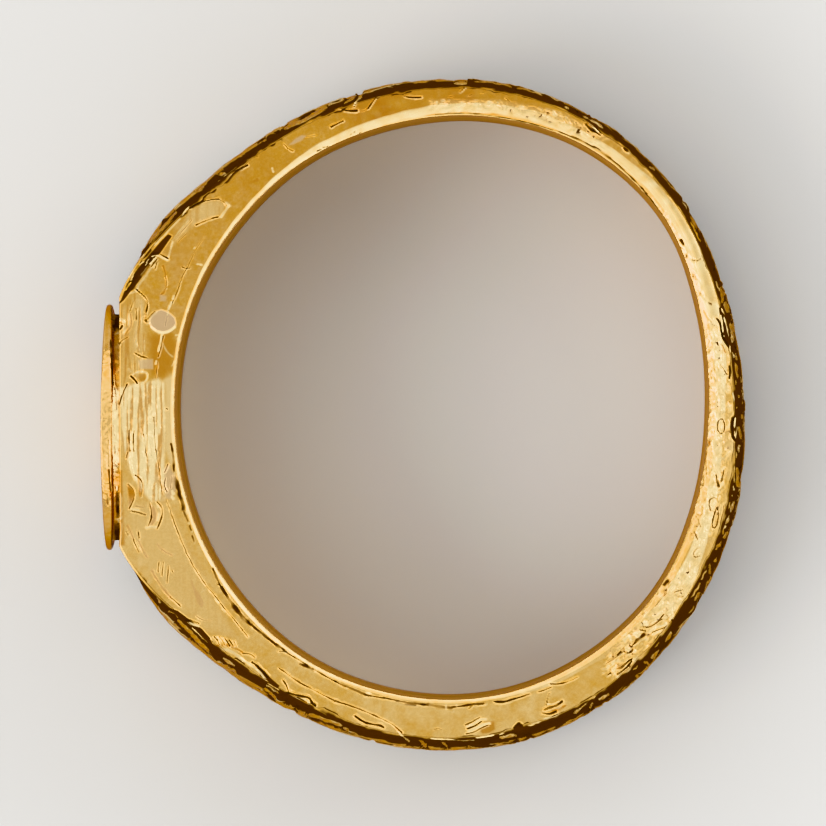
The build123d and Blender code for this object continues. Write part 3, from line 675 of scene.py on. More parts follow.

# Bright slivers of raised work beside the near side, by the photograph's pixels. light is their share of
# painted highlight, and 0 is bare gold.
Sliver = namedtuple("Sliver", "width light path")
slivers = [Sliver(*row) for row in [
    # the upper shoulder
    (1.8, 0.0, [(131, 282), (128, 286), (125, 291)]),
    (1.6, 0.4, [(133.6, 273), (131, 281)]),
    (1.8, 0.8, [(144, 254), (138.5, 260), (133.5, 268), (129, 277)]),
    (1.2, 0.5, [(144, 261.5), (138.5, 265)]),
    (1.3, 0.8, [(149, 258), (145.6, 265)]),
    (1.2, 0.5, [(154, 258), (150, 267)]),
    (1.5, 0.5, [(175.5, 211.5), (168, 220), (158, 231), (149, 241.5), (143.5, 249)]),
    (1.6, 0.0, [(172, 219), (163, 229.5), (154, 239.5), (149, 246)]),
    (1.8, 0.6, [(180, 219), (172, 227), (163, 236.5), (154, 245.5)]),
    (1.8, 0.7, [(189, 206.5), (185, 211), (182, 216)]),
    (1.7, 0.8, [(206, 182), (203, 186), (198, 191)]),
    (2.4, 1.0, [(223.6, 171.6), (219, 174)]),
    (1.5, 0.6, [(236, 167), (228, 172.6), (222, 177.6), (217, 181.5)]),
    (2.6, 1.0, [(241.5, 153.6), (236, 156.6), (232, 158.6)]),
    (2.4, 0.8, [(265, 139), (258, 141.6), (253, 143.6)]),
    # above
    (2.8, 0.75, [(284, 127.4), (290, 124), (298, 121.4), (305, 118.4), (311, 114.6), (317, 111), (329, 104)]),
    (2.0, 0.4, [(329, 104), (333, 100.6), (335, 98.4)]),
    (1.6, 0.8, [(286, 121.4), (289, 120)]),
    (1.8, 0.9, [(354, 105.6), (356, 101), (359.6, 96), (362, 93.4)]),
    (1.3, 0.3, [(344, 101.6), (350, 98.6), (355, 96)]),
    (2.0, 0.9, [(455, 82), (461, 81.6), (466, 82)]),
    (2.0, 0.9, [(489, 79.4), (496, 79.8), (503, 80.4), (511, 81.4)]),
    (1.8, 0.6, [(565, 105.6), (569.6, 107.6)]),
    (2.2, 0.6, [(584, 115), (588.6, 117.4)]),
    (2.6, 0.95, [(591.4, 119), (597, 122), (603.4, 126.6)]),
    (2.4, 0.95, [(623.6, 131.4), (628, 134)]),
    (1.6, 0.9, [(651.4, 166), (655.4, 169)]),
    (2.0, 0.3, [(681, 195), (684, 202)]),
    (2.0, 0.2, [(690, 212), (694, 220), (700, 230)]),
    (2.2, 0.0, [(692, 222), (697, 232), (701, 241)]),
    (1.8, 0.4, [(714.6, 263), (717.6, 269)]),
    (2.2, 0.7, [(716.8, 281), (718.4, 285), (720.4, 290)]),
    (2.2, 0.1, [(722, 288), (724, 296), (724, 302)]),
    # the back
    (2.4, 0.8, [(726, 302), (729, 311)]),
    (2.6, 0.7, [(721.6, 309), (725, 314)]),
    (2.0, 0.9, [(720.6, 315), (722, 322), (723, 332)]),
    (2.8, 1.0, [(724.4, 317.6), (727, 325), (728.4, 331), (729, 336)]),
    (2.6, 0.95, [(732, 323.4), (733.6, 329), (734, 335), (734, 342)]),
    (2.4, 1.0, [(723.4, 335.4), (724, 336)]),
    (1.6, 0.7, [(730, 345), (730.6, 352)]),
    (2.6, 0.95, [(733.6, 352.4), (735.6, 357)]),
    (2.4, 0.95, [(738, 353), (738.6, 359)]),
    (1.8, 0.3, [(737, 363), (738, 368), (739, 377)]),
    (2.2, 0.3, [(736, 380.6), (737.4, 384)]),
    (2.6, 1.0, [(742.8, 382), (743, 388)]),
    (1.5, 0.9, [(732.6, 393), (734.4, 400.6)]),
    (2.0, 0.5, [(740, 395.4), (740.6, 398)]),
    (2.0, 0.5, [(737, 407), (738, 408)]),
    (2.4, 0.7, [(743.4, 413), (743.6, 421)]),
    (2.2, 1.0, [(735.4, 418), (734.6, 423), (734.6, 428)]),
    (2.0, 0.9, [(737.8, 427), (737.4, 431), (736.6, 435)]),
    (2.0, 0.8, [(734.4, 431), (735, 435), (736.4, 438.6)]),
    (1.8, 0.5, [(740.6, 427.6), (741.4, 432), (742.4, 438)]),
    (2.4, 0.9, [(741.6, 445.6), (740, 448), (741, 452)]),
    (2.2, 0.5, [(737, 452), (737.6, 458)]),
    (2.2, 0.3, [(738.6, 468), (739.4, 475), (739, 486)]),
    (1.8, 0.4, [(734.6, 466), (735.4, 476), (735, 483)]),
    (2.8, 1.0, [(735, 487), (735.2, 490.4)]),
    (2.2, 0.9, [(733.6, 495.6), (734, 496.4)]),
    (2.0, 0.4, [(730.6, 503), (729.4, 509)]),
    (2.6, 1.0, [(735.4, 502.4), (733.6, 507), (732, 512.4)]),
    (2.2, 1.0, [(730.4, 517), (729, 521), (728, 524)]),
    (2.8, 1.0, [(727, 526), (725.6, 529)]),
    (2.2, 0.9, [(731.2, 525.6), (731, 529)]),
    (2.8, 0.2, [(725, 531.4), (724.6, 535)]),
    (2.4, 0.8, [(730, 531), (728.4, 534), (725.6, 538.6)]),
    (2.2, 0.2, [(723, 543), (720.4, 546.4), (717.4, 549.6)]),
    (2.6, 1.0, [(726.4, 548.4), (724.6, 552), (722, 556)]),
    (2.2, 0.7, [(718, 559.6), (716, 562.6)]),
    (2.2, 0.9, [(717, 568), (715.4, 573)]),
    (1.8, 0.2, [(711, 565), (711.6, 569), (711, 575)]),
    (2.4, 0.5, [(707.4, 571), (705, 574), (702.4, 580)]),
    (2.2, 0.4, [(702, 584), (697, 592), (692, 598)]),
    (1.8, 0.7, [(700, 594), (696, 601)]),
    # the lower back
    (2.0, 0.7, [(672.6, 633), (670, 638), (667, 642.4)]),
    (1.5, 0.3, [(660, 644.6), (656, 647.6)]),
    (2.8, 1.0, [(662.4, 651.4), (659, 654), (655, 657.6), (652.6, 659.6)]),
    (2.8, 0.3, [(638, 667.6), (635, 670.4)]),
    (2.4, 0.15, [(645, 664), (649, 664), (650, 669)]),
    (2.2, 0.7, [(648, 671.6), (646, 673)]),
    (2.0, 0.3, [(639, 675.4), (636, 677.4)]),
    (2.4, 1.0, [(626.6, 691.4), (622, 693.4), (618, 696.4), (613.4, 701)]),
    (2.8, 1.0, [(609.6, 695.6), (605, 698.6), (600, 701)]),
    (1.6, 0.5, [(594.6, 697), (593, 700)]),
    (2.0, 0.6, [(593.4, 704.6), (591, 709)]),
    (2.0, 0.7, [(586.4, 704), (583, 708), (579, 711.6), (575.4, 714.6)]),
    (1.6, 0.7, [(528, 727), (534, 723.6), (541, 721.4)]),
    # below
    (2.0, 0.7, [(528, 738.6), (534, 737.6), (540, 736)]),
    (3.0, 0.8, [(501, 739.4), (506, 738.6), (511, 736.6), (516, 737.6)]),
    (1.8, 0.8, [(500, 734.6), (503, 733.4)]),
    (1.5, 0.9, [(476, 738), (486, 736.8), (494, 735)]),
    (1.5, 0.9, [(431, 738.4), (440, 739.6), (452, 739.6), (462, 741.6), (470, 741.6), (475, 740)]),
    (3.0, 0.5, [(467.6, 748.6), (468.6, 748)]),
    (2.4, 0.3, [(442, 744), (446, 747)]),
    (2.4, 0.6, [(445.6, 749), (449, 751.4), (453.6, 752)]),
    (3.0, 0.0, [(420, 742), (424, 746), (428, 749.4)]),
    (2.0, 0.8, [(409, 743), (403.6, 737.6), (398, 731.4)]),
    (1.8, 0.5, [(364, 738), (370, 740), (375, 741)]),
    (2.2, 0.5, [(349, 733), (355, 736), (360, 738)]),
    (2.8, 0.95, [(343, 729), (347.6, 730.6)]),
    (2.2, 0.95, [(309, 715.4), (317, 718.4), (325, 721.4), (333, 724), (341, 727)]),
    (2.2, 0.9, [(297.6, 712.4), (304, 713.6)]),
    (2.0, 0.7, [(259, 696), (261, 696.6)]),
    # the lower shoulder
    (1.6, 0.4, [(268, 683.6), (274, 687.6), (279, 690)]),
    (1.7, 0.7, [(266, 686.4), (272, 690), (278, 694.4)]),
    (1.7, 0.5, [(264, 689.6), (270, 694), (276, 699)]),
    (1.7, 0.4, [(262, 692.6), (267, 696.4), (272, 700)]),
    (2.4, 1.0, [(222, 659.4), (227, 663), (233, 667)]),
    (2.2, 0.5, [(220, 663.6), (228, 668), (235, 672.6), (240, 679)]),
    (1.5, 0.0, [(219, 667.6), (226, 671.4)]),
    (2.8, 1.0, [(206.6, 653), (210.6, 656)]),
    (2.2, 0.9, [(203, 657), (211, 661)]),
    (2.0, 0.6, [(192, 628), (198, 634), (206, 643)]),
    (2.4, 0.35, [(176.6, 621.4), (184, 628.4), (192, 636.4), (200, 645), (208, 651.6)]),
    (1.6, 0.6, [(165, 615.4), (171, 623), (184, 637), (192, 644), (200, 651)]),
    (1.6, 0.3, [(167, 612.6), (174, 613.4), (177, 618)]),
    (2.6, 1.0, [(157, 598.6), (159, 603.6)]),
]]


# Places of the marks

def from_path(p, path):
    """How far pixel places p (n, 2) are from a path of straight runs, and the way there."""
    best = np.full(len(p), 1e9)
    way = np.zeros((len(p), 2))
    for a, b in zip(path[:-1], path[1:]):
        a, b = np.array(a, float), np.array(b, float)
        d = b - a
        f = np.clip((p - a) @ d / (d @ d), 0, 1)
        offset = p - a - f[:, None] * d
        away = np.hypot(*offset.T)
        nearer = away < best
        best[nearer] = away[nearer]
        way[nearer] = offset[nearer]
    return best, way


def inside_outline(p, outline):
    """Whether pixel places lie inside an outline, by the number of its sides to their right."""
    odd = np.zeros(len(p), bool)
    for (ax, ay), (bx, by) in zip(outline, outline[1:] + outline[:1]):
        if ay == by:
            continue
        crosses = (ay > p[:, 1]) != (by > p[:, 1])
        odd ^= crosses & (p[:, 0] < (bx - ax) * (p[:, 1] - ay) / (by - ay) + ax)
    return odd


def rounded(path):
    """The path with its corners cut off twice."""
    p = np.array(path, float)
    if len(p) == 2:
        return p
    for _ in range(2):
        quarters = np.stack([p[:-1] * 0.75 + p[1:] * 0.25, p[:-1] * 0.25 + p[1:] * 0.75], axis=1)
        p = np.concatenate([p[:1], quarters.reshape(-1, 2), p[-1:]])
    return p


def near(p, path, reach):
    """Indices of the pixel places that are within reach of the box around a path."""
    low, high = np.min(path, axis=0) - reach, np.max(path, axis=0) + reach
    return np.flatnonzero(np.all((p > low) & (p < high), axis=1))


def marks_at(points):
    """Depth in mm and the tones that the marks give at points of the near side."""
    place = points.reshape(-1, 3)
    p = to_pixels(place)
    depth = np.zeros(len(p))
    tones = no_tones(depth)
    for area in areas:
        at = near(p, area.outline, area.soft)
        if not len(at):
            continue
        look = looks[area.look]
        away, _ = from_path(p[at], area.outline + area.outline[:1])
        signed = np.where(inside_outline(p[at], area.outline), away, -away)
        share = smooth(signed / area.soft + 0.5)
        depth[at] += look.depth * share
        for k, tone in enumerate(look[1:]):
            if tone:
                tones[k, at] = np.maximum(tones[k, at], tone * share)
        if look.cream or look.grey:
            tones[AMBER_AND_SHADE, at] *= 1 - share
    for stroke in strokes:
        at = near(p, stroke.path, stroke.width * 1.8)
        if not len(at):
            continue
        look = looks[stroke.look]
        uneven = 1 + 0.45 * noise(place[at], 0.13, 20)
        away, way = from_path(p[at], rounded(stroke.path))
        n = away / (stroke.width / 2 * uneven)
        core = smooth(1.35 - 0.90 * n) * np.clip(0.85 + 0.5 * noise(place[at], 0.24, 28), 0.3, 1)
        lip = np.exp(-((n - lip_place) / lip_reach) ** 2)
        depth[at] += look.depth * (core - (lip_rise * lip if look.depth > 0 else 0))
        for k, tone in enumerate(look[1:]):
            if tone:
                tones[k, at] = np.maximum(tones[k, at], tone * core)
        if look.cream:
            tones[TARNISH_AND_SHADE, at] *= 1 - core
            tones[AMBER_AND_SHADE, at] *= 1 - core
        if look.depth > 0 and look.brown > 0.5:
            lit = np.clip(0.2 + 0.8 * (way @ lit_side) / (away + 0.01), 0, 1)
            tones[PAINTED_HIGHLIGHT, at] = np.maximum(tones[PAINTED_HIGHLIGHT, at] * (1 - core), lip_highlight * lip * lit * (1 - core))
    shape = points.shape[:-1]
    return depth.reshape(shape), tones.reshape((len(TONES),) + shape)


def slivers_at(points):
    """Where the slivers show at points, from 0 to 1, the hollow around them with painted shade,
    and their painted highlight.
    """
    place = points.reshape(-1, 3)
    p = to_pixels(place)
    sliver, hollow, light = np.zeros((3, len(p)))
    for row in slivers:
        at = near(p, row.path, 2.2 * row.width)
        if not len(at):
            continue
        away, _ = from_path(p[at], rounded(row.path))
        to_end = np.minimum(np.hypot(*(p[at] - row.path[0]).T), np.hypot(*(p[at] - row.path[-1]).T))
        half = 0.52 * row.width * np.clip(0.45 + 0.55 * to_end / (1.3 * row.width), 0, 1)
        half = half * (1 + 0.30 * noise(place[at], 0.16, 36))
        body = np.clip(1 - (away / half) ** 2, 0, 1) ** 0.6
        sliver[at] = np.maximum(sliver[at], body)
        hollow[at] = np.maximum(hollow[at], smooth(1.6 - away / (1.5 * half)))
        light[at] = np.maximum(light[at], row.light * smooth(1.4 * body))
    shape = points.shape[:-1]
    return sliver.reshape(shape), hollow.reshape(shape), light.reshape(shape)


# Relief of the outside. along is a share of the way from the bezel to the back, across and size are
# shares of the half width, and turn is in degrees.
Motif = namedtuple("Motif", "kind along across size turn")
shoulder_motifs = [
    Motif("leaf", 0.000, 0.00, 1.50, 0), Motif("leaf", 0.015, 0.34, 1.10, 16),
    Motif("scroll", 0.080, 0.70, 0.26, 150), Motif("leaf", 0.120, 0.62, 0.80, 6),
    Motif("shell", 0.265, 0.00, 0.60, 0), Motif("scroll", 0.240, 0.66, 0.28, 200),
    Motif("leaf", 0.290, 0.62, 0.85, -20), Motif("bead", 0.375, 0.00, 0.15, 0),
]
vine_start = 0.40
vine_pitch = 0.12
vine_swing = 0.34
vine_curl = 0.48
vine_leaf = 0.80
vine_leaf_turn = 32
vine_span = 160              # degrees from the seat to the back
vine_stem = 0.095            # half the width of the stem, as a share of the half width
leaf_spread = 0.36           # half the width of a leaf, as a share of its length
leaf_lobes = 4.5
leaflets = 7
frill_start = 0.62           # where the leaflets around a scroll start, as a share of its size
scroll_laps = 1.75
scroll_start = 0.70
berry = 0.20                 # radius of the berry of a scroll or a shell, as a share of its size
shell_ribs = 9
shell_fan = 125              # degrees to each side of the shell's middle
tip_start = 0.10             # the border of leaf tips beside the edges, in mm
tip_pitch = 0.95
tip_length = 1.25
tip_lean = 0.9


def leaf_height(x, y, size):
    """A leaf whose lobed edges lean to its tip, with a midrib and a groove out to each notch."""
    f = np.clip(x / size, 1e-4, 1 - 1e-4)
    reach = np.abs(y) / (leaf_spread * size)
    notch = np.abs(np.sin(math.pi * leaf_lobes * (f - 0.30 * reach)))
    half = leaf_spread * size * np.sin(np.pi * f ** 0.8) * (0.68 + 0.32 * notch ** 0.7)
    n = np.abs(y) / half
    body = np.clip(1 - n ** 2.6, 0, 1) ** 0.6
    rib = 0.22 * np.exp(-(reach / 0.07) ** 2) - 0.30 * np.exp(-((reach - 0.16) / 0.06) ** 2)
    groove = 0.55 * np.exp(-(notch / 0.34) ** 2) * smooth((reach - 0.12) / 0.25)
    height = body * (0.86 - groove + rib)
    return np.where((x > 0) & (x < size) & (n < 1), np.clip(height, 0, 1), 0)


def scroll_height(x, y, size):
    """A tendril that winds in to a berry, with leaflets that lean outwards around it."""
    radius = np.hypot(x, y) / size
    phase = np.arctan2(y, x) / (2 * np.pi) + 0.5
    height = bead_height(x, y, berry * size)
    for lap in range(2):
        wind = phase + lap
        centre = scroll_start * np.exp(-0.62 * wind)
        n = np.abs(radius - centre) / (0.115 * np.exp(-0.22 * wind))
        band = np.clip(1 - n * n, 0, 1) ** 0.6 * (1 - 0.25 * np.exp(-(n / 0.30) ** 2))
        height = np.maximum(height, np.where(wind < scroll_laps, band, 0))
    tip = 0.5 + 0.5 * np.cos(2 * np.pi * (leaflets * phase - 1.6 * radius))
    reach = 0.80 + 0.30 * tip * np.sin(np.pi * np.clip(phase * 1.15, 0, 1))
    out = (radius - frill_start) / (reach - frill_start + 1e-6)
    frill = (0.35 + 0.65 * tip) * np.clip(1 - out ** 2, 0, 1) ** 0.6
    return np.maximum(height, np.where((radius > frill_start) & (radius < reach), 0.85 * frill, 0))


def shell_height(x, y, size):
    """A ribbed fan around a berry."""
    radius = np.hypot(x, y) / size
    fan = np.arctan2(y, x)
    ridge = np.cos(shell_ribs * fan)
    reach = 1 + 0.10 * ridge
    height = (0.55 + 0.45 * ridge) * np.sqrt(np.clip(1 - (radius / reach) ** 4, 0, 1))
    height = np.maximum(height, bead_height(x, y, berry * size))
    return np.where((np.abs(fan) < math.radians(shell_fan)) & (radius < reach), height, 0)


def bead_height(x, y, size):
    return np.sqrt(np.clip(1 - (x * x + y * y) / size ** 2, 0, 1))


motif_height = {"leaf": leaf_height, "scroll": scroll_height, "shell": shell_height, "bead": bead_height}


def relief_rows():
    """The motifs of the shoulder with their mirror images, then those along the vine."""
    rows = list(shoulder_motifs)
    rows += [Motif(m.kind, m.along, -m.across, m.size, -m.turn) for m in shoulder_motifs if m.across > 0]
    along = vine_start
    side = 1
    while along < 1 + vine_pitch / 2:
        rows.append(Motif("scroll", along, side * vine_swing, vine_curl, side * 90))
        rows.append(Motif("leaf", along, -side * vine_swing, vine_leaf, -side * vine_leaf_turn))
        rows.append(Motif("leaf", along, -side * vine_swing, vine_leaf, side * (180 + vine_leaf_turn)))
        along += vine_pitch
        side = -side
    return rows


def stem_height(along, level, half):
    """The winding stem of the vine around the back of the hoop."""
    wave = np.pi * (along - vine_start) / vine_pitch
    centre = -vine_swing * half * np.cos(wave)
    slope = vine_swing * half * np.sin(wave) * np.pi / vine_pitch / (np.radians(vine_span) * hoop_radius)
    n = np.abs(level - centre) / np.hypot(1, slope) / (vine_stem * half)
    return np.where((n < 1) & (along > vine_start - 0.02), np.clip(1 - n * n, 0, 1) ** 0.5 * 0.8, 0)


def tips_height(along_mm, to_edge):
    """A border of small leaf tips that lean along the edge."""
    v = np.clip((to_edge - tip_start) / tip_length, 1e-4, 1 - 1e-4)
    u = along_mm / tip_pitch + tip_lean * v
    x = np.abs(u - np.floor(u) - 0.5)
    n = x / (0.44 * (1 - v) ** 0.55 + 1e-6)
    body = np.clip(1 - n * n, 0, 1) ** 0.6
    height = body * (0.80 - 0.30 * np.exp(-(n / 0.22) ** 2)) * (0.6 + 0.4 * (1 - v))
    return np.where((n < 1) & (to_edge > tip_start) & (to_edge < tip_start + tip_length), height, 0)


def relief(angle, across):
    """The raised work, from 0 on the ground to 1, on arrays of one shape."""
    shape = np.broadcast(angle, across).shape
    angle = np.broadcast_to(angle, shape).ravel()
    across = np.broadcast_to(across, shape).ravel()
    reach = np.where(angle >= 0, seat_angle_above, -seat_angle_below)
    along = 1 - np.abs(angle) / reach
    length = np.radians(reach) * hoop_radius
    half_here = half_width(hoop_radius * np.cos(np.radians(angle)))
    level = across * half_here
    height = stem_height(along, level, half_here)
    for row in relief_rows():
        half = half_width(hoop_radius * np.cos(np.radians(reach * (1 - row.along))))
        size = row.size * half
        dx = (along - row.along) * length
        dy = level - row.across * half
        at = np.flatnonzero((np.abs(dx) < 1.15 * size) & (np.abs(dy) < 1.15 * size) & (along > -0.02))
        turn = math.radians(row.turn)
        x = dx[at] * math.cos(turn) + dy[at] * math.sin(turn)
        y = dy[at] * math.cos(turn) - dx[at] * math.sin(turn)
        height[at] = np.maximum(height[at], motif_height[row.kind](x, y, size[at]))
    return height.reshape(shape)


# The near side's edges. bevel is the width of its worn inner edge and drop that edge's depth, hollow
# lowers both edges below the middle, all in mm. dark is how ragged the outer edge is and how far painted
# shade reaches along it.
Edge = namedtuple("Edge", "angle bevel drop round hollow dark")
near_edges = [
    Edge(-180, 0.14, 0.14, 0.06, 0.00, 1.0), Edge(-150, 0.14, 0.137, 0.07, 0.00, 0.7),
    Edge(-120, 0.13, 0.11, 0.06, 0.00, 0.6), Edge(-95, 0.11, 0.08, 0.06, 0.00, 0.3),
    Edge(-70, 0.14, 0.10, 0.06, 0.01, 0.4), Edge(-50, 0.22, 0.14, 0.06, 0.03, 0.3),
    Edge(-25, 0.26, 0.16, 0.05, 0.05, 0.15), Edge(0, 0.26, 0.16, 0.05, 0.06, 0.15),
    Edge(25, 0.26, 0.14, 0.05, 0.05, 0.15), Edge(50, 0.34, 0.14, 0.05, 0.03, 0.1),
    Edge(75, 0.40, 0.15, 0.05, 0.01, 0.3), Edge(100, 0.34, 0.14, 0.06, 0.00, 0.7),
    Edge(125, 0.18, 0.15, 0.06, 0.00, 0.9), Edge(150, 0.14, 0.137, 0.06, 0.00, 1.0),
]

# The painted highlight band of the near side lies from start to end, in mm from the hole. shine is its
# share of cream, and amber and pale are painted shade and a weaker painted highlight beside it.
Glow = namedtuple("Glow", "angle start end shine amber pale")
near_glow = [
    Glow(-180, -0.10, 0.11, 1.0, 0.15, 0.10), Glow(-165, -0.10, 0.12, 1.0, 0.00, 0.20),
    Glow(-150, -0.10, 0.13, 1.0, 0.00, 0.25), Glow(-135, -0.10, 0.13, 1.0, 0.00, 0.15),
    Glow(-120, -0.10, 0.10, 1.0, 0.00, 0.18), Glow(-100, -0.10, 0.07, 0.9, 0.00, 0.22),
    Glow(-85, -0.05, 0.08, 0.8, 0.00, 0.25), Glow(-70, 0.06, 0.24, 0.7, 0.00, 0.24),
    Glow(-58, 0.14, 0.36, 0.4, 0.00, 0.18), Glow(-48, 0.22, 0.75, 0.4, 0.00, 0.14),
    Glow(-38, 0.30, 0.95, 1.0, 0.00, 0.20), Glow(-28, 0.32, 0.80, 1.0, 0.00, 0.20),
    Glow(-15, 0.28, 0.62, 1.0, 0.00, 0.25), Glow(0, 0.24, 0.58, 1.0, 0.00, 0.35),
    Glow(15, 0.24, 0.72, 1.0, 0.00, 0.28), Glow(30, 0.16, 0.64, 0.9, 0.00, 0.15),
    Glow(45, 0.16, 0.52, 0.85, 0.15, 0.10), Glow(60, 0.12, 0.44, 0.8, 0.35, 0.05),
    Glow(75, 0.12, 0.48, 0.85, 0.50, 0.00), Glow(90, 0.10, 0.40, 1.0, 0.70, 0.00),
    Glow(100, 0.04, 0.34, 1.0, 0.65, 0.00), Glow(112, -0.05, 0.26, 1.0, 0.40, 0.00),
    Glow(125, -0.10, 0.19, 1.0, 0.28, 0.00), Glow(140, -0.10, 0.15, 1.0, 0.28, 0.05),
    Glow(155, -0.10, 0.13, 1.0, 0.30, 0.08), Glow(168, -0.10, 0.12, 1.0, 0.25, 0.10),
]
glow_soft = 0.05             # over which the band fades in, in mm
thin_line = 0.075            # width of the painted highlight line at the hole's very edge, in mm
thin_line_highlight = 0.45


def glow_at(points):
    """The tones of the near side before its marks, at points of it: painted highlight and painted shade."""
    angle = np.degrees(np.arctan2(points[..., 1], points[..., 0]))
    out = np.hypot(points[..., 0], points[..., 1]) - bore_radius(angle)
    uneven = 0.035 * noise(points, 0.5, 5)
    start = table_value(near_glow, "start", angle) + uneven
    end = table_value(near_glow, "end", angle) + uneven
    shine = smooth((out - start) / glow_soft + 0.5) * smooth((end - out) / (glow_soft * 1.5) + 0.5)
    shine = shine * table_value(near_glow, "shine", angle)
    drift = 1 + 0.6 * noise(points, 1.3, 6) + 0.5 * noise(points, 0.30, 9)
    amber = np.clip(table_value(near_glow, "amber", angle) * drift, 0, 1) * (1 - shine)
    pale = 1.15 * table_value(near_glow, "pale", angle) * drift + 0.10 * noise(points, 0.12, 10)
    has_lip = smooth((start - 0.02) / 0.05)
    lip = smooth((start - out) / glow_soft) * has_lip
    thin = smooth((thin_line - out) / 0.04) * has_lip
    tones = no_tones(out)
    tones[AMBER_AND_SHADE] = np.maximum(amber, 0.16 * lip) * (1 - thin)
    cream = np.clip(shine * (0.80 + 0.35 * noise(points, 0.20, 7)), 0, 1)
    beside = np.maximum(np.clip(pale, 0, 1) * (1 - 0.5 * lip), thin_line_highlight * thin)
    tones[PAINTED_HIGHLIGHT] = np.maximum(cream, beside)
    return tones


def wear(points):
    """Low uneven wear of a hand-finished face, in mm below it."""
    return (0.006 * (1 + noise(points, 1.6)) + 0.0035 * (1 + noise(points, 0.45, 1))
            + 0.0022 * (1 + noise(points, 0.15, 23)))


def file_streak(points):
    """The long marks of a file that ran along the bezel, from -1 to 1."""
    return noise(points * (1, 0.07, 1), 0.062, 8) + 0.45 * noise(points * (1, 0.12, 1), 0.17, 11)


def settle(points, share, edge_shade=0.0):
    """Lowers near-side points by their marks and wear. Returns the points and their tones, with the
    painted shade of the outer edge over the marks and the slivers' painted highlight over that."""
    depth, tones = marks_at(points)
    under = glow_at(points)
    under[AMBER_AND_SHADE] *= 1 - np.clip(np.max(tones[[PAINTED_HIGHLIGHT, GREY]], axis=0), 0, 1)
    under[PAINTED_HIGHLIGHT] *= 1 - np.clip(np.max(tones[[TARNISH_AND_SHADE, AMBER_AND_SHADE, GREY]], axis=0), 0, 1)
    streak = file_streak(points)
    # painted shade in the file marks' grooves and painted highlight on their crests
    deep = smooth((streak - 0.02) / 0.4) * tones[FILE]
    crest = 0.45 * tones[FILE] * tones[PAINTED_HIGHLIGHT] * smooth((-0.15 - streak) / 0.4)
    tones[PAINTED_HIGHLIGHT] = tones[PAINTED_HIGHLIGHT] * (1 - 0.75 * deep) + crest
    tones[AMBER_AND_SHADE] = np.maximum(tones[AMBER_AND_SHADE], 0.75 * deep * (1 - tones[GREY]))
    bump = noise(points, 0.085, 21) + 0.8 * noise(points, 0.18, 22)
    # painted highlight on the tops of the hammered bumps and painted shade in their hollows
    tones[PAINTED_HIGHLIGHT] = np.clip(tones[PAINTED_HIGHLIGHT] + 0.60 * tones[BEAT] * smooth(1.4 * bump - 0.2), 0, 1)
    tones[AMBER_AND_SHADE] = np.maximum(tones[AMBER_AND_SHADE], 0.7 * tones[BEAT] * smooth((-0.30 - bump) / 0.5))
    tones[TARNISH_AND_SHADE] = np.maximum(tones[TARNISH_AND_SHADE], 0.75 * tones[BEAT] * smooth((-0.80 - bump) / 0.3))
    tones = np.maximum(tones, under)
    sliver, _, light = slivers_at(points)
    tones[TARNISH_AND_SHADE] = np.maximum(tones[TARNISH_AND_SHADE], edge_shade) * (1 - sliver)
    tones[AMBER_AND_SHADE] *= 1 - sliver
    tones[PAINTED_HIGHLIGHT] = np.maximum(tones[PAINTED_HIGHLIGHT] * (1 - edge_shade), light)
    depth = depth * (1 - sliver) - sliver_proud * sliver + wear(points)
    points = points.copy()
    points[..., 2] -= (depth + file_depth * streak * tones[FILE] - beat_rise * bump * tones[BEAT]) * share
    return points, tones


# Grids of points, with the stations down the first axis

def near_face_height(angle, radius):
    """Height in Z of the near side face before its marks."""
    inner = bore_radius(angle) + table_value(near_edges, "bevel", angle)
    outer = edge_radius(angle)
    u = np.clip((radius - inner) / (outer - inner), 0, 1)
    flat = half_width(radius * np.cos(np.radians(angle)))
    return flat - table_value(near_edges, "hollow", angle) * (2 * u - 1) ** 2


def far_face_height(angle, radius):
    return floor_gap - half_width(radius * np.cos(np.radians(angle)))


def near_rounding():
    """Width of the rounded outer edge of the near side, nicked where the carving runs over it."""
    rim = finger_points(column, hoop_radius, 0.0)
    nick = smooth((noise(rim, 0.50, 12) - 0.05) / 0.5) * smooth((noise(rim, 1.7, 13) + 0.45) / 0.5)
    nick = nick + 0.45 * smooth((noise(rim, 0.20, 24) - 0.1) / 0.4)
    nick = nick * (0.3 + 0.7 * table_value(near_edges, "dark", column))
    return table_value(near_edges, "round", column) + nick_width * nick * shoulder_blend_at(column)


def near_side():
    """The near side face, from the worn edge of the hole to its rounded outer edge."""
    inner = bore_radius(column) + table_value(near_edges, "bevel", column)
    outer = edge_radius(column) - near_rounding()
    u = np.linspace(0, 1, side_rows + 1)[None, :]
    radius = inner + (outer - inner) * u
    points = finger_points(column, radius, near_face_height(column, radius))
    # painted shade along the rounded outer edge, ragged by noise
    ragged = smooth((noise(points, 0.35, 32) + 0.6 * noise(points, 0.13, 33) + 0.05) / 0.6)
    dark = table_value(near_edges, "dark", column)
    edge_shade = 1 - smooth((outer - radius) / (0.02 + 0.15 * ragged * dark))
    return settle(points, 1.0, edge_shade * np.minimum(2 * shoulder_blend_at(column), 1))


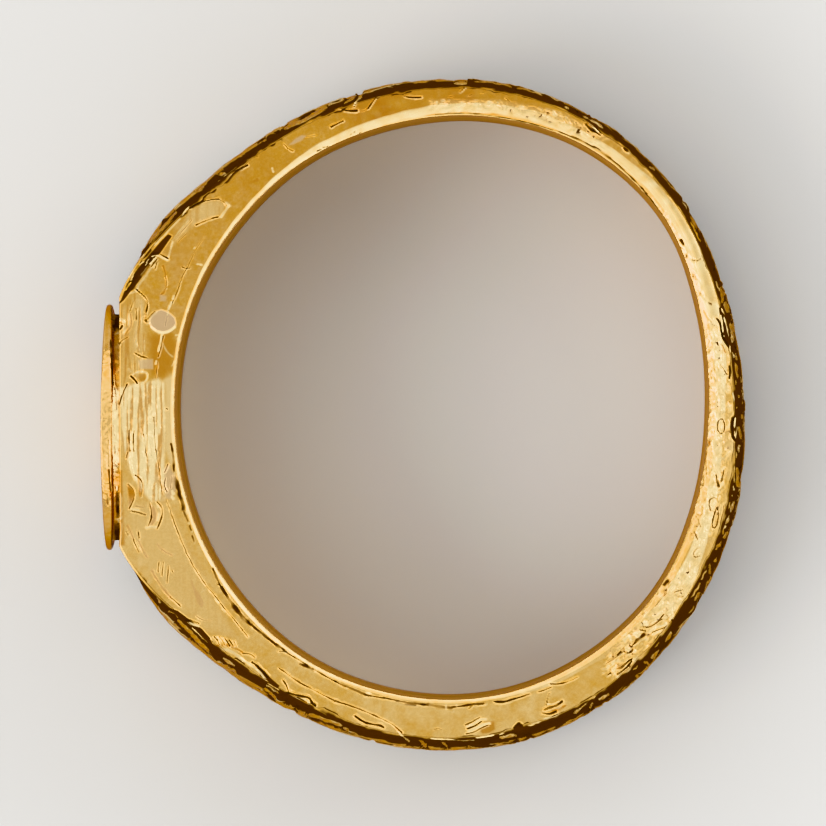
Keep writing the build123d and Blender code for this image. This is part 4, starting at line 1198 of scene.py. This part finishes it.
def inside_and_far():
    """From the near side's inner edge over the bevel, the hole's wall and the far side to its outer edge."""
    bevel = table_value(near_edges, "bevel", column)
    drop = table_value(near_edges, "drop", column)
    bore = bore_radius(column)
    rows = []
    tones = []
    face = near_face_height(column, bore + bevel)
    for k in range(bevel_rows + 1):
        turn = math.pi / 2 * k / bevel_rows
        radius = bore + bevel * (1 - chamfer * k / bevel_rows - (1 - chamfer) * math.sin(turn))
        z = face - drop * (chamfer * k / bevel_rows + (1 - chamfer) * (1 - math.cos(turn)))
        points, tone = settle(finger_points(column, radius, z), 1 - 0.7 * k / bevel_rows)
        rows.append(points)
        tones.append(tone)
    top = rows[-1][..., 2]
    flat_far = far_face_height(column, bore + far_bevel)
    by_bezel = smooth((0.15 - np.cos(np.radians(column))) / 0.45)
    for k in range(1, bore_rows):
        f = k / bore_rows
        z = top + (flat_far + far_bevel - top) * f
        points = finger_points(column, bore, z)
        inward = 0.012 * np.sin(math.pi * f) * (1 + 0.6 * noise(points, 1.1, 2))
        rows.append(finger_points(column, bore + inward, z))
        # painted highlight along the far rim, near the bezel
        rim = smooth((f - far_rim) / 0.08) * by_bezel
        # darker deeper into the hole as painted shade, over tarnish that varies at random
        tarnish_and_hole_shade = 0.10 + 0.10 * noise(points, 1.6, 37) + 0.20 * smooth((f - 0.15) / 0.60)
        tone = no_tones(z)
        tone[TARNISH_AND_SHADE] = np.clip(tarnish_and_hole_shade, 0, 0.6) * (1 - rim)
        tone[PAINTED_HIGHLIGHT] = 0.85 * rim * np.clip(0.8 + 0.5 * noise(points, 0.5, 38), 0, 1)
        tone[TURNED] = 1
        tones.append(tone)
    for k in range(bevel_rows + 1):
        turn = math.pi / 2 * k / bevel_rows
        radius = bore + far_bevel * (1 - math.cos(turn))
        z = flat_far + far_bevel * (1 - math.sin(turn))
        rows.append(finger_points(column, radius, z))
        tone = no_tones(z)
        # painted highlight on the far bevel near the bezel
        tone[PAINTED_HIGHLIGHT] = 0.6 * by_bezel * (1 - k / bevel_rows)
        tones.append(tone)
    inner = bore + far_bevel
    outer = edge_radius(column) - edge_round
    for k in range(1, far_side_rows + 1):
        radius = inner + (outer - inner) * k / far_side_rows
        rows.append(finger_points(column, radius, far_face_height(column, radius)))
        tones.append(no_tones(radius))
    return np.concatenate(rows, axis=1), np.concatenate(tones, axis=2)


Outside = namedtuple("Outside", "radius raised to_edge blend sliver hollow light")


def outside_surface(across, side):
    """Radius of the outside at each station for rows of shares of the half width, its relief, how far
    it is from the edge, the shoulder blend, and the slivers, their hollow and their light."""
    across = np.broadcast_to(across, (stations_count, np.shape(across)[-1]))
    edge = edge_radius(column)
    width = half_width(edge * np.cos(np.radians(column)))
    to_edge = (1 - np.abs(across)) * width
    laid_out = np.stack(np.broadcast_arrays(np.radians(column) * hoop_radius, across * width, 0.0), axis=-1)
    along_mm = laid_out[..., 0]
    uneven = noise(laid_out, 0.45, 25)
    drift = noise(laid_out, 1.1, 31)
    chased = 0.5 + 0.5 * noise(laid_out, 0.30, 27)
    raised = relief(column, across)
    inward = smooth((to_edge - 0.75 * tip_length) / (0.5 * tip_length))
    tips = tips_height(along_mm + 0.10 * uneven + 0.30 * drift, to_edge * (1 + 0.25 * drift) + 0.05 * uneven)
    kept = smooth(0.34 + 1.3 * noise(laid_out * (1, 0.25, 1), 0.95, 35)) * (0.45 if side > 0 else 1)
    raised = np.maximum(raised * inward, tips * (0.30 + 0.85 * kept)) * (0.78 + 0.22 * smooth(chased * 1.6))
    raised = softened(raised, (1,))
    blend = shoulder_blend_at(column)
    dome = crown_rise * table_value(sections, "crown", column) * (1 - across ** 2)
    fade = smooth(to_edge / 0.30)
    ground = 1 - smooth(raised / 0.3)
    rough = 0.010 * noise(laid_out, 0.14, 3) * ground + 0.006 * noise(laid_out, 0.30, 26)
    marks = np.zeros((3,) + raised.shape)
    if side > 0:
        surface = edge + blend * (dome + sliver_rise * fade)
        marks = np.array(slivers_at(finger_points(column, surface, across * width)))
        marks *= smooth((np.abs(across) - 0.22) / 0.15) * smooth(2 * blend)
    sliver, hollow, light = marks
    flute = along_mm + flute_lean * to_edge + 0.10 * drift
    flute = 0.5 + 0.5 * np.cos(2 * math.pi * flute / flute_pitch)
    deep = smooth((to_edge - 0.6) / 0.9)
    light = light * (1 - 0.55 * deep) * (1 - 0.65 * flute * (0.4 + 0.6 * deep))
    raised = raised * (1 - 0.85 * hollow) + sliver * (1 - 0.5 * flute) * sliver_rise / relief_height
    radius = edge + blend * (dome + (relief_height * 0.93 * raised + rough) * fade)
    radius = np.where(on_seat(column), seat_radius(column), radius)
    return Outside(radius, raised * fade * blend, to_edge, blend, sliver, hollow, light)


def carving(side):
    """Half of the outside, from the edge of one side face to the middle. side is 1 for the near half."""
    edge = edge_radius(column)
    if side > 0:
        rounding = near_rounding()
        face = near_face_height(column, edge - rounding)
    else:
        rounding = np.full_like(column, edge_round)
        face = -far_face_height(column, edge - rounding)
    low = face - rounding
    width = half_width(edge * np.cos(np.radians(column)))
    shares = np.linspace(0, 1, carving_rows + 1)[None, :]
    outside = outside_surface(side * low / width * (1 - shares), side)
    first = outside.radius[:, :1]
    rows = []
    tones = []
    for k in range(round_rows):
        turn = math.pi / 2 * k / round_rows
        r = edge - rounding + (first - edge + rounding) * math.sin(turn)
        z = low + rounding * math.cos(turn)
        points = finger_points(column, r, side * z)
        tone = no_tones(z)
        if side > 0:
            # painted shade over the rounded outer edge of the near side
            edge_shade = smooth(0.35 + 1.2 * k / round_rows) * shoulder_blend_at(column)
            edge_shade = edge_shade * np.clip(0.85 + 0.6 * noise(points, 0.25, 14), 0, 1)
            points, tone = settle(points, 1 - k / round_rows, edge_shade)
        rows.append(points)
        tones.append(tone)
    points = finger_points(column, outside.radius, side * low * (1 - shares))
    rows.append(points)
    tones.append(carved_tones(points, outside, low))
    rows, tones = np.concatenate(rows, axis=1), np.concatenate(tones, axis=2)
    return (rows, tones) if side > 0 else (rows[:, ::-1], tones[:, :, ::-1])


def carved_tones(points, outside, low):
    """Tarnish in the ground, deepened near the edges as painted shade, painted shade on the relief's
    flanks, gold on the relief and painted highlight on its tops.
    """
    raised = outside.raised
    hollow = np.clip((softened(raised, (1, 2, 4)) - raised) * 3.0, 0, 1)
    # painted shade over the outside within reach of its edges
    border = 1 - smooth((outside.to_edge - 1.4) / 0.8)
    glint = smooth((noise(points, 0.85, 16) + 0.4 * noise(points, 0.26, 15) - 0.02) / 0.35)
    slope = np.abs(np.gradient(raised, axis=1)) * relief_height * carving_rows / low
    # painted shade on the steep flanks of the relief
    flank = smooth((slope - 0.22) / 0.30)
    on_sliver = smooth(1.3 * outside.sliver)
    gold_share = smooth((raised - 0.32 - 0.08 * border) / 0.16) * (1 - 0.8 * hollow) * (1 - 0.85 * flank)
    gold_share = np.maximum(gold_share * (1 - 0.9 * outside.hollow), on_sliver)
    brown = (1 - gold_share) * (0.88 + 0.12 * border + 0.08 * noise(points, 0.6, 4))
    top = smooth((raised - 0.60 + 0.25 * border) / 0.30) * (1 - hollow)
    cream = np.clip(top * (0.25 + 0.7 * glint), 0, 1) * (1 - on_sliver)
    tones = no_tones(raised)
    tones[TARNISH_AND_SHADE] = np.clip(np.where(outside.blend > 0, brown, 0.30), 0, 1)
    tones[AMBER_AND_SHADE] = np.clip(1.1 * (1 - gold_share), 0, 1)
    tones[PAINTED_HIGHLIGHT] = np.maximum(cream, outside.light)
    return tones


def bezel_surface():
    """The collar and the plate: ovals around the bezel's middle, from the seat to the plate's face."""
    turn = np.linspace(0, 2 * np.pi, bezel_stations, endpoint=False)[:, None]
    tip = np.abs(np.cos(turn)) ** 5
    edge = plate_edge_round + plate_tip_round * tip
    level = collar_reach * np.cos(turn) - bezel_drop
    nearly_flush = np.exp(-((level - flush_middle) / flush_reach) ** 4) * smooth(np.sin(turn) * 3)
    inset = collar_inset + (flush_inset - collar_inset) * nearly_flush
    foot = front_x + collar_sunk
    back = collar_x - plate_tip_taper * tip
    front = plate_x + plate_bow * np.cos(turn) ** 2
    face_shares = (0.985, 0.96, 0.92, 0.85, 0.75, 0.6, 0.4, 0.2, 0.0)
    # each oval's place in X, how far it is drawn in from the plate's outline, and its share of the rest
    ovals = [(foot, inset, s) for s in (0.0, 0.5, 0.9, 0.97, 1.0)]
    ovals += [(foot + (collar_x - front_x - 0.01) * k / collar_rows, inset, 1.0)
              for k in range(1, collar_rows + 1)]
    ovals += [(back, inset - 0.02 - (inset - edge - 0.02) * k / plate_back_rows, 1.0)
              for k in range(plate_back_rows + 1)]
    for k in range(1, plate_round_rows + 1):
        quarter = math.pi / 2 * k / plate_round_rows
        ovals.append((back - edge * (1 - math.cos(quarter)), edge * (1 - math.sin(quarter)), 1.0))
    ovals += [(back - edge + (front + 2 * edge - back) * k / plate_edge_rows, 0.0, 1.0)
              for k in range(1, plate_edge_rows)]
    for k in range(plate_round_rows + 1):
        quarter = math.pi / 2 * k / plate_round_rows
        ovals.append((front + edge * (1 - math.sin(quarter)), edge * (1 - math.cos(quarter)), 1.0))
    ovals += [(plate_x + (front - plate_x) * s * s, edge, s) for s in face_shares]
    points = []
    for x, drawn_in, share in ovals:
        y = (plate_reach[0] - drawn_in) * share * np.cos(turn) - bezel_drop
        z = (plate_reach[1] - drawn_in) * share * np.sin(turn)
        points.append(np.stack(np.broadcast_arrays(x + 0 * turn, y, z), axis=-1))
    points = np.concatenate(points, axis=1)

    # its marks and tones, on the half that faces the camera
    depth, tones = marks_at(points)
    on_face = np.arange(points.shape[1]) >= len(ovals) - len(face_shares)
    facing = smooth(np.sin(turn) * 2.5) * ~on_face
    lumps = 0.014 * (1 + noise(points, 0.16, 17)) + 0.010 * (1 + noise(points, 0.5, 18))
    lumps -= 0.020 * noise(points, 0.10, 21) * tones[BEAT]
    tones *= facing
    streak = file_streak(points)
    glint = 0.35 * tones[FILE] * smooth(-2 * streak) + 0.2 * facing * noise(points, 0.12, 34)
    tones[PAINTED_HIGHLIGHT] = np.clip(tones[PAINTED_HIGHLIGHT] + glint, 0, 1)
    # painted shade in the file marks' grooves
    tones[AMBER_AND_SHADE] = np.maximum(tones[AMBER_AND_SHADE], 0.45 * facing * smooth(2 * streak - 0.1) * (1 - tones[GREY]))
    on_plate = (points[..., 0] < collar_x) * facing
    tones[PAINTED_HIGHLIGHT] *= 1 - 0.65 * on_plate
    tones[GREY] *= 1 - 0.55 * on_plate
    tones[AMBER_AND_SHADE] = np.maximum(tones[AMBER_AND_SHADE], 0.42 * on_plate)
    points[..., 2] -= (0.7 * depth + lumps) * facing
    # the collar wall behind the plate gets amber and brown: painted shade in the groove
    behind = (points[..., 0] > collar_x - 0.01) * (1 - nearly_flush)
    tones[AMBER_AND_SHADE] = np.maximum(tones[AMBER_AND_SHADE], 0.8 * behind * (1 - tones[PAINTED_HIGHLIGHT]))
    collar_shade = np.maximum(1 - facing, 0.9 * smooth((np.abs(np.cos(turn)) - 0.80) / 0.1))
    tones[TARNISH_AND_SHADE] = np.maximum(tones[TARNISH_AND_SHADE], 0.95 * behind * collar_shade * (0.9 + 0.3 * noise(points, 0.4, 19)))
    return points, tones


# Pieces

def make_mesh(name, grid, tones):
    """A mesh over a grid of points (stations, rows, 3) that closes on itself along the stations."""
    n, m = grid.shape[:2]
    co = to_row(grid.reshape(-1, 3))
    index = np.arange(n * m).reshape(n, m)
    ahead = np.roll(index, -1, axis=0)
    quads = np.stack([index[:, :-1], ahead[:, :-1], ahead[:, 1:], index[:, 1:]], axis=-1).reshape(-1, 4)
    mesh = bpy.data.meshes.new(name)
    mesh.vertices.add(len(co))
    mesh.vertices.foreach_set("co", co.astype(np.float32).ravel())
    mesh.loops.add(quads.size)
    mesh.loops.foreach_set("vertex_index", quads.astype(np.int32).ravel())
    mesh.polygons.add(len(quads))
    mesh.polygons.foreach_set("loop_start", (np.arange(len(quads)) * 4).astype(np.int32))
    mesh.polygons.foreach_set("use_smooth", np.ones(len(quads), bool))
    for k, tone in enumerate(TONES):
        layer = mesh.attributes.new(tone, "FLOAT", "POINT")
        layer.data.foreach_set("value", tones[k].astype(np.float32).ravel())
    mesh.update()
    mesh.validate()
    piece = bpy.data.objects.new(name, mesh)
    bpy.context.scene.collection.objects.link(piece)
    return piece


ring_pieces = [
    make_mesh("side_near", *near_side()),
    make_mesh("hoop_inside", *inside_and_far()),
    make_mesh("carving_near", *carving(1)),
    make_mesh("carving_far", *carving(-1)),
    make_mesh("bezel_plate", *bezel_surface()),
]


# Materials

def new_material(name):
    material = bpy.data.materials.new(name)
    material.use_nodes = True
    tree = material.node_tree
    tree.nodes.clear()
    out = tree.nodes.new("ShaderNodeOutputMaterial")
    shader = tree.nodes.new("ShaderNodeBsdfPrincipled")
    tree.links.new(shader.outputs[0], out.inputs[0])
    return material, tree, shader


def node(tree, kind, inputs=None, **settings):
    made = tree.nodes.new(kind)
    for key, value in settings.items():
        setattr(made, key, value)
    for key, value in (inputs or {}).items():
        if isinstance(value, bpy.types.NodeSocket):
            tree.links.new(value, made.inputs[key])
        else:
            made.inputs[key].default_value = value
    return made


def mix_colour(tree, share, a, b):
    return node(tree, "ShaderNodeMix", {0: share, 6: a, 7: b}, data_type="RGBA").outputs[2]


def maths(tree, operation, a, b=0.0, c=0.0, clamp=False):
    return node(tree, "ShaderNodeMath", {0: a, 1: b, 2: c}, operation=operation, use_clamp=clamp).outputs[0]


def attribute(tree, name):
    return node(tree, "ShaderNodeAttribute", attribute_name=name).outputs["Fac"]


def noise_texture(tree, place, scale, detail):
    inputs = {"Vector": place, "Scale": scale, "Detail": detail}
    return node(tree, "ShaderNodeTexNoise", inputs).outputs["Fac"]


def contrast(tree, value, low, high):
    made = node(tree, "ShaderNodeMapRange", {"Value": value, "From Min": low, "From Max": high})
    return made.outputs["Result"]


def gold_material():
    """Worn gold whose colour, shine and grain follow the tones of the mesh, painted highlight and painted
    shade among them.
    """
    material, tree, shader = new_material("worn_gold")
    place = node(tree, "ShaderNodeTexCoord").outputs["Object"]
    cloud = noise_texture(tree, place, 420.0, 3.0)
    grain = noise_texture(tree, place, 5200.0, 4.0)
    speck = noise_texture(tree, place, 11000.0, 2.0)
    base = mix_colour(tree, cloud, (0.69, 0.370, 0.055, 1), (0.75, 0.425, 0.080, 1))
    fine = maths(tree, "MULTIPLY", contrast(tree, speck, 0.42, 0.62), 0.6)
    base = mix_colour(tree, fine, base, (0.80, 0.49, 0.130, 1))
    # the amber tone: deeper gold that also serves as painted shade
    base = mix_colour(tree, attribute(tree, "amber"), base, (0.56, 0.24, 0.028, 1))
    base = mix_colour(tree, attribute(tree, "grey"), base, (0.74, 0.52, 0.28, 1))
    # the cream tone: painted highlight
    base = mix_colour(tree, attribute(tree, "cream"), base, (1.0, 0.80, 0.42, 1))
    to_finger = spin.transposed().to_euler()
    along = node(tree, "ShaderNodeMapping", {"Vector": place, "Rotation": to_finger}).outputs[0]
    along = node(tree, "ShaderNodeMapping", {"Vector": along, "Scale": (1, 1, 30)}).outputs[0]
    lines = contrast(tree, noise_texture(tree, along, 300.0, 3.0), 0.35, 0.65)
    lines = maths(tree, "MULTIPLY", lines, attribute(tree, "turned"))
    base = mix_colour(tree, maths(tree, "MULTIPLY", lines, 0.55), base, (0.50, 0.235, 0.040, 1))
    # tarnish and painted shade, in a dark brown that is not metal
    tarnish_and_shade_share = maths(tree, "MULTIPLY", attribute(tree, "brown"), 1.35, clamp=True)
    base = mix_colour(tree, tarnish_and_shade_share, base, (0.042, 0.013, 0.0022, 1))
    tree.links.new(base, shader.inputs["Base Color"])
    metal = maths(tree, "SUBTRACT", 1.0, tarnish_and_shade_share, clamp=True)
    tree.links.new(metal, shader.inputs["Metallic"])
    shader.inputs["Specular IOR Level"].default_value = 0.0
    shader.inputs["Specular Tint"].default_value = (0.62, 0.36, 0.14, 1)
    rough = maths(tree, "MULTIPLY_ADD", grain, 0.14, 0.15)
    rough = maths(tree, "MULTIPLY_ADD", lines, 0.14, rough)
    rough = maths(tree, "ADD", rough, maths(tree, "MULTIPLY", attribute(tree, "brown"), 0.25))
    rough = maths(tree, "ADD", rough, maths(tree, "MULTIPLY", attribute(tree, "cream"), 0.04), clamp=True)
    tree.links.new(rough, shader.inputs["Roughness"])
    worked = maths(tree, "MULTIPLY_ADD", attribute(tree, "beat"), 1.6, attribute(tree, "cream"))
    height = maths(tree, "MULTIPLY_ADD", speck, worked, grain)
    bump = node(tree, "ShaderNodeBump", {"Strength": 0.30, "Distance": 0.00002, "Height": height})
    tree.links.new(bump.outputs[0], shader.inputs["Normal"])
    return material


gold = gold_material()
for piece in ring_pieces:
    piece.data.materials.append(gold)
    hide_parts("signet_ring")
    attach(piece, "root")

# Floor and camera
floor_reach = 1.5
floor_material, tree, shader = new_material("pale_floor")
shader.inputs["Base Color"].default_value = (0.46, 0.453, 0.438, 1)
shader.inputs["Roughness"].default_value = 0.7
floor_mesh = bpy.data.meshes.new("floor")
floor_corners = [(x * floor_reach, y * floor_reach, 0) for x, y in ((-1, -1), (1, -1), (1, 1), (-1, 1))]
floor_mesh.from_pydata(floor_corners, [], [(0, 1, 2, 3)])
floor = bpy.data.objects.new("floor", floor_mesh)
floor_mesh.materials.append(floor_material)
bpy.context.scene.collection.objects.link(floor)

camera_data = bpy.data.cameras.new("camera")
camera_data.sensor_width = 36.0
camera_data.lens = camera_data.sensor_width * pixel_scale / IMAGE
camera_data.clip_start = 0.01
camera = bpy.data.objects.new("camera", camera_data)
bpy.context.scene.collection.objects.link(camera)
camera.matrix_world = Matrix.Translation(Vector(to_row(eye))) @ spin.to_4x4()
bpy.context.scene.camera = camera

# Even studio light: a soft top, a brighter band around it and a pale horizon. Each band is a place from
# the horizon to the top, and its brightness.
top_of_light = (0.342, 0.0, 0.940)
light_bands = [
    (0.00, 0.60), (0.20, 0.80), (0.24, 3.60), (0.40, 3.60),
    (0.45, 1.60), (0.76, 1.60), (0.93, 0.86), (1.00, 0.82),
]
world = bpy.data.worlds.new("studio")
bpy.context.scene.world = world
world.use_nodes = True
tree = world.node_tree
tree.nodes.clear()
direction = node(tree, "ShaderNodeTexCoord").outputs["Generated"]
height = node(tree, "ShaderNodeVectorMath", {0: direction, 1: top_of_light}, operation="DOT_PRODUCT")
ramp = node(tree, "ShaderNodeValToRGB", {"Fac": height.outputs["Value"]})
while len(ramp.color_ramp.elements) < len(light_bands):
    ramp.color_ramp.elements.new(0.5)
for stop, (place, level) in zip(ramp.color_ramp.elements, light_bands):
    stop.position = place
    stop.color = (level, level, level, 1)
sky = node(tree, "ShaderNodeBackground", {"Color": ramp.outputs[0], "Strength": 1.0})
node(tree, "ShaderNodeOutputWorld", {"Surface": sky.outputs[0]})
bpy.context.scene.view_settings.view_transform = "Khronos PBR Neutral"


def softbox(name, place, size, power):
    light = bpy.data.lights.new(name, "AREA")
    light.shape = "RECTANGLE"
    light.size, light.size_y = size
    light.energy = power
    made = bpy.data.objects.new(name, light)
    made.location = place
    made.rotation_euler = (-Vector(place)).to_track_quat("-Z", "Y").to_euler()
    made.visible_camera = False
    bpy.context.scene.collection.objects.link(made)


softbox("key", (-0.30, -0.15, 0.30), (0.22, 0.22), 0.8)
softbox("fill", (0.34, 0.20, 0.22), (0.22, 0.22), 0.5)
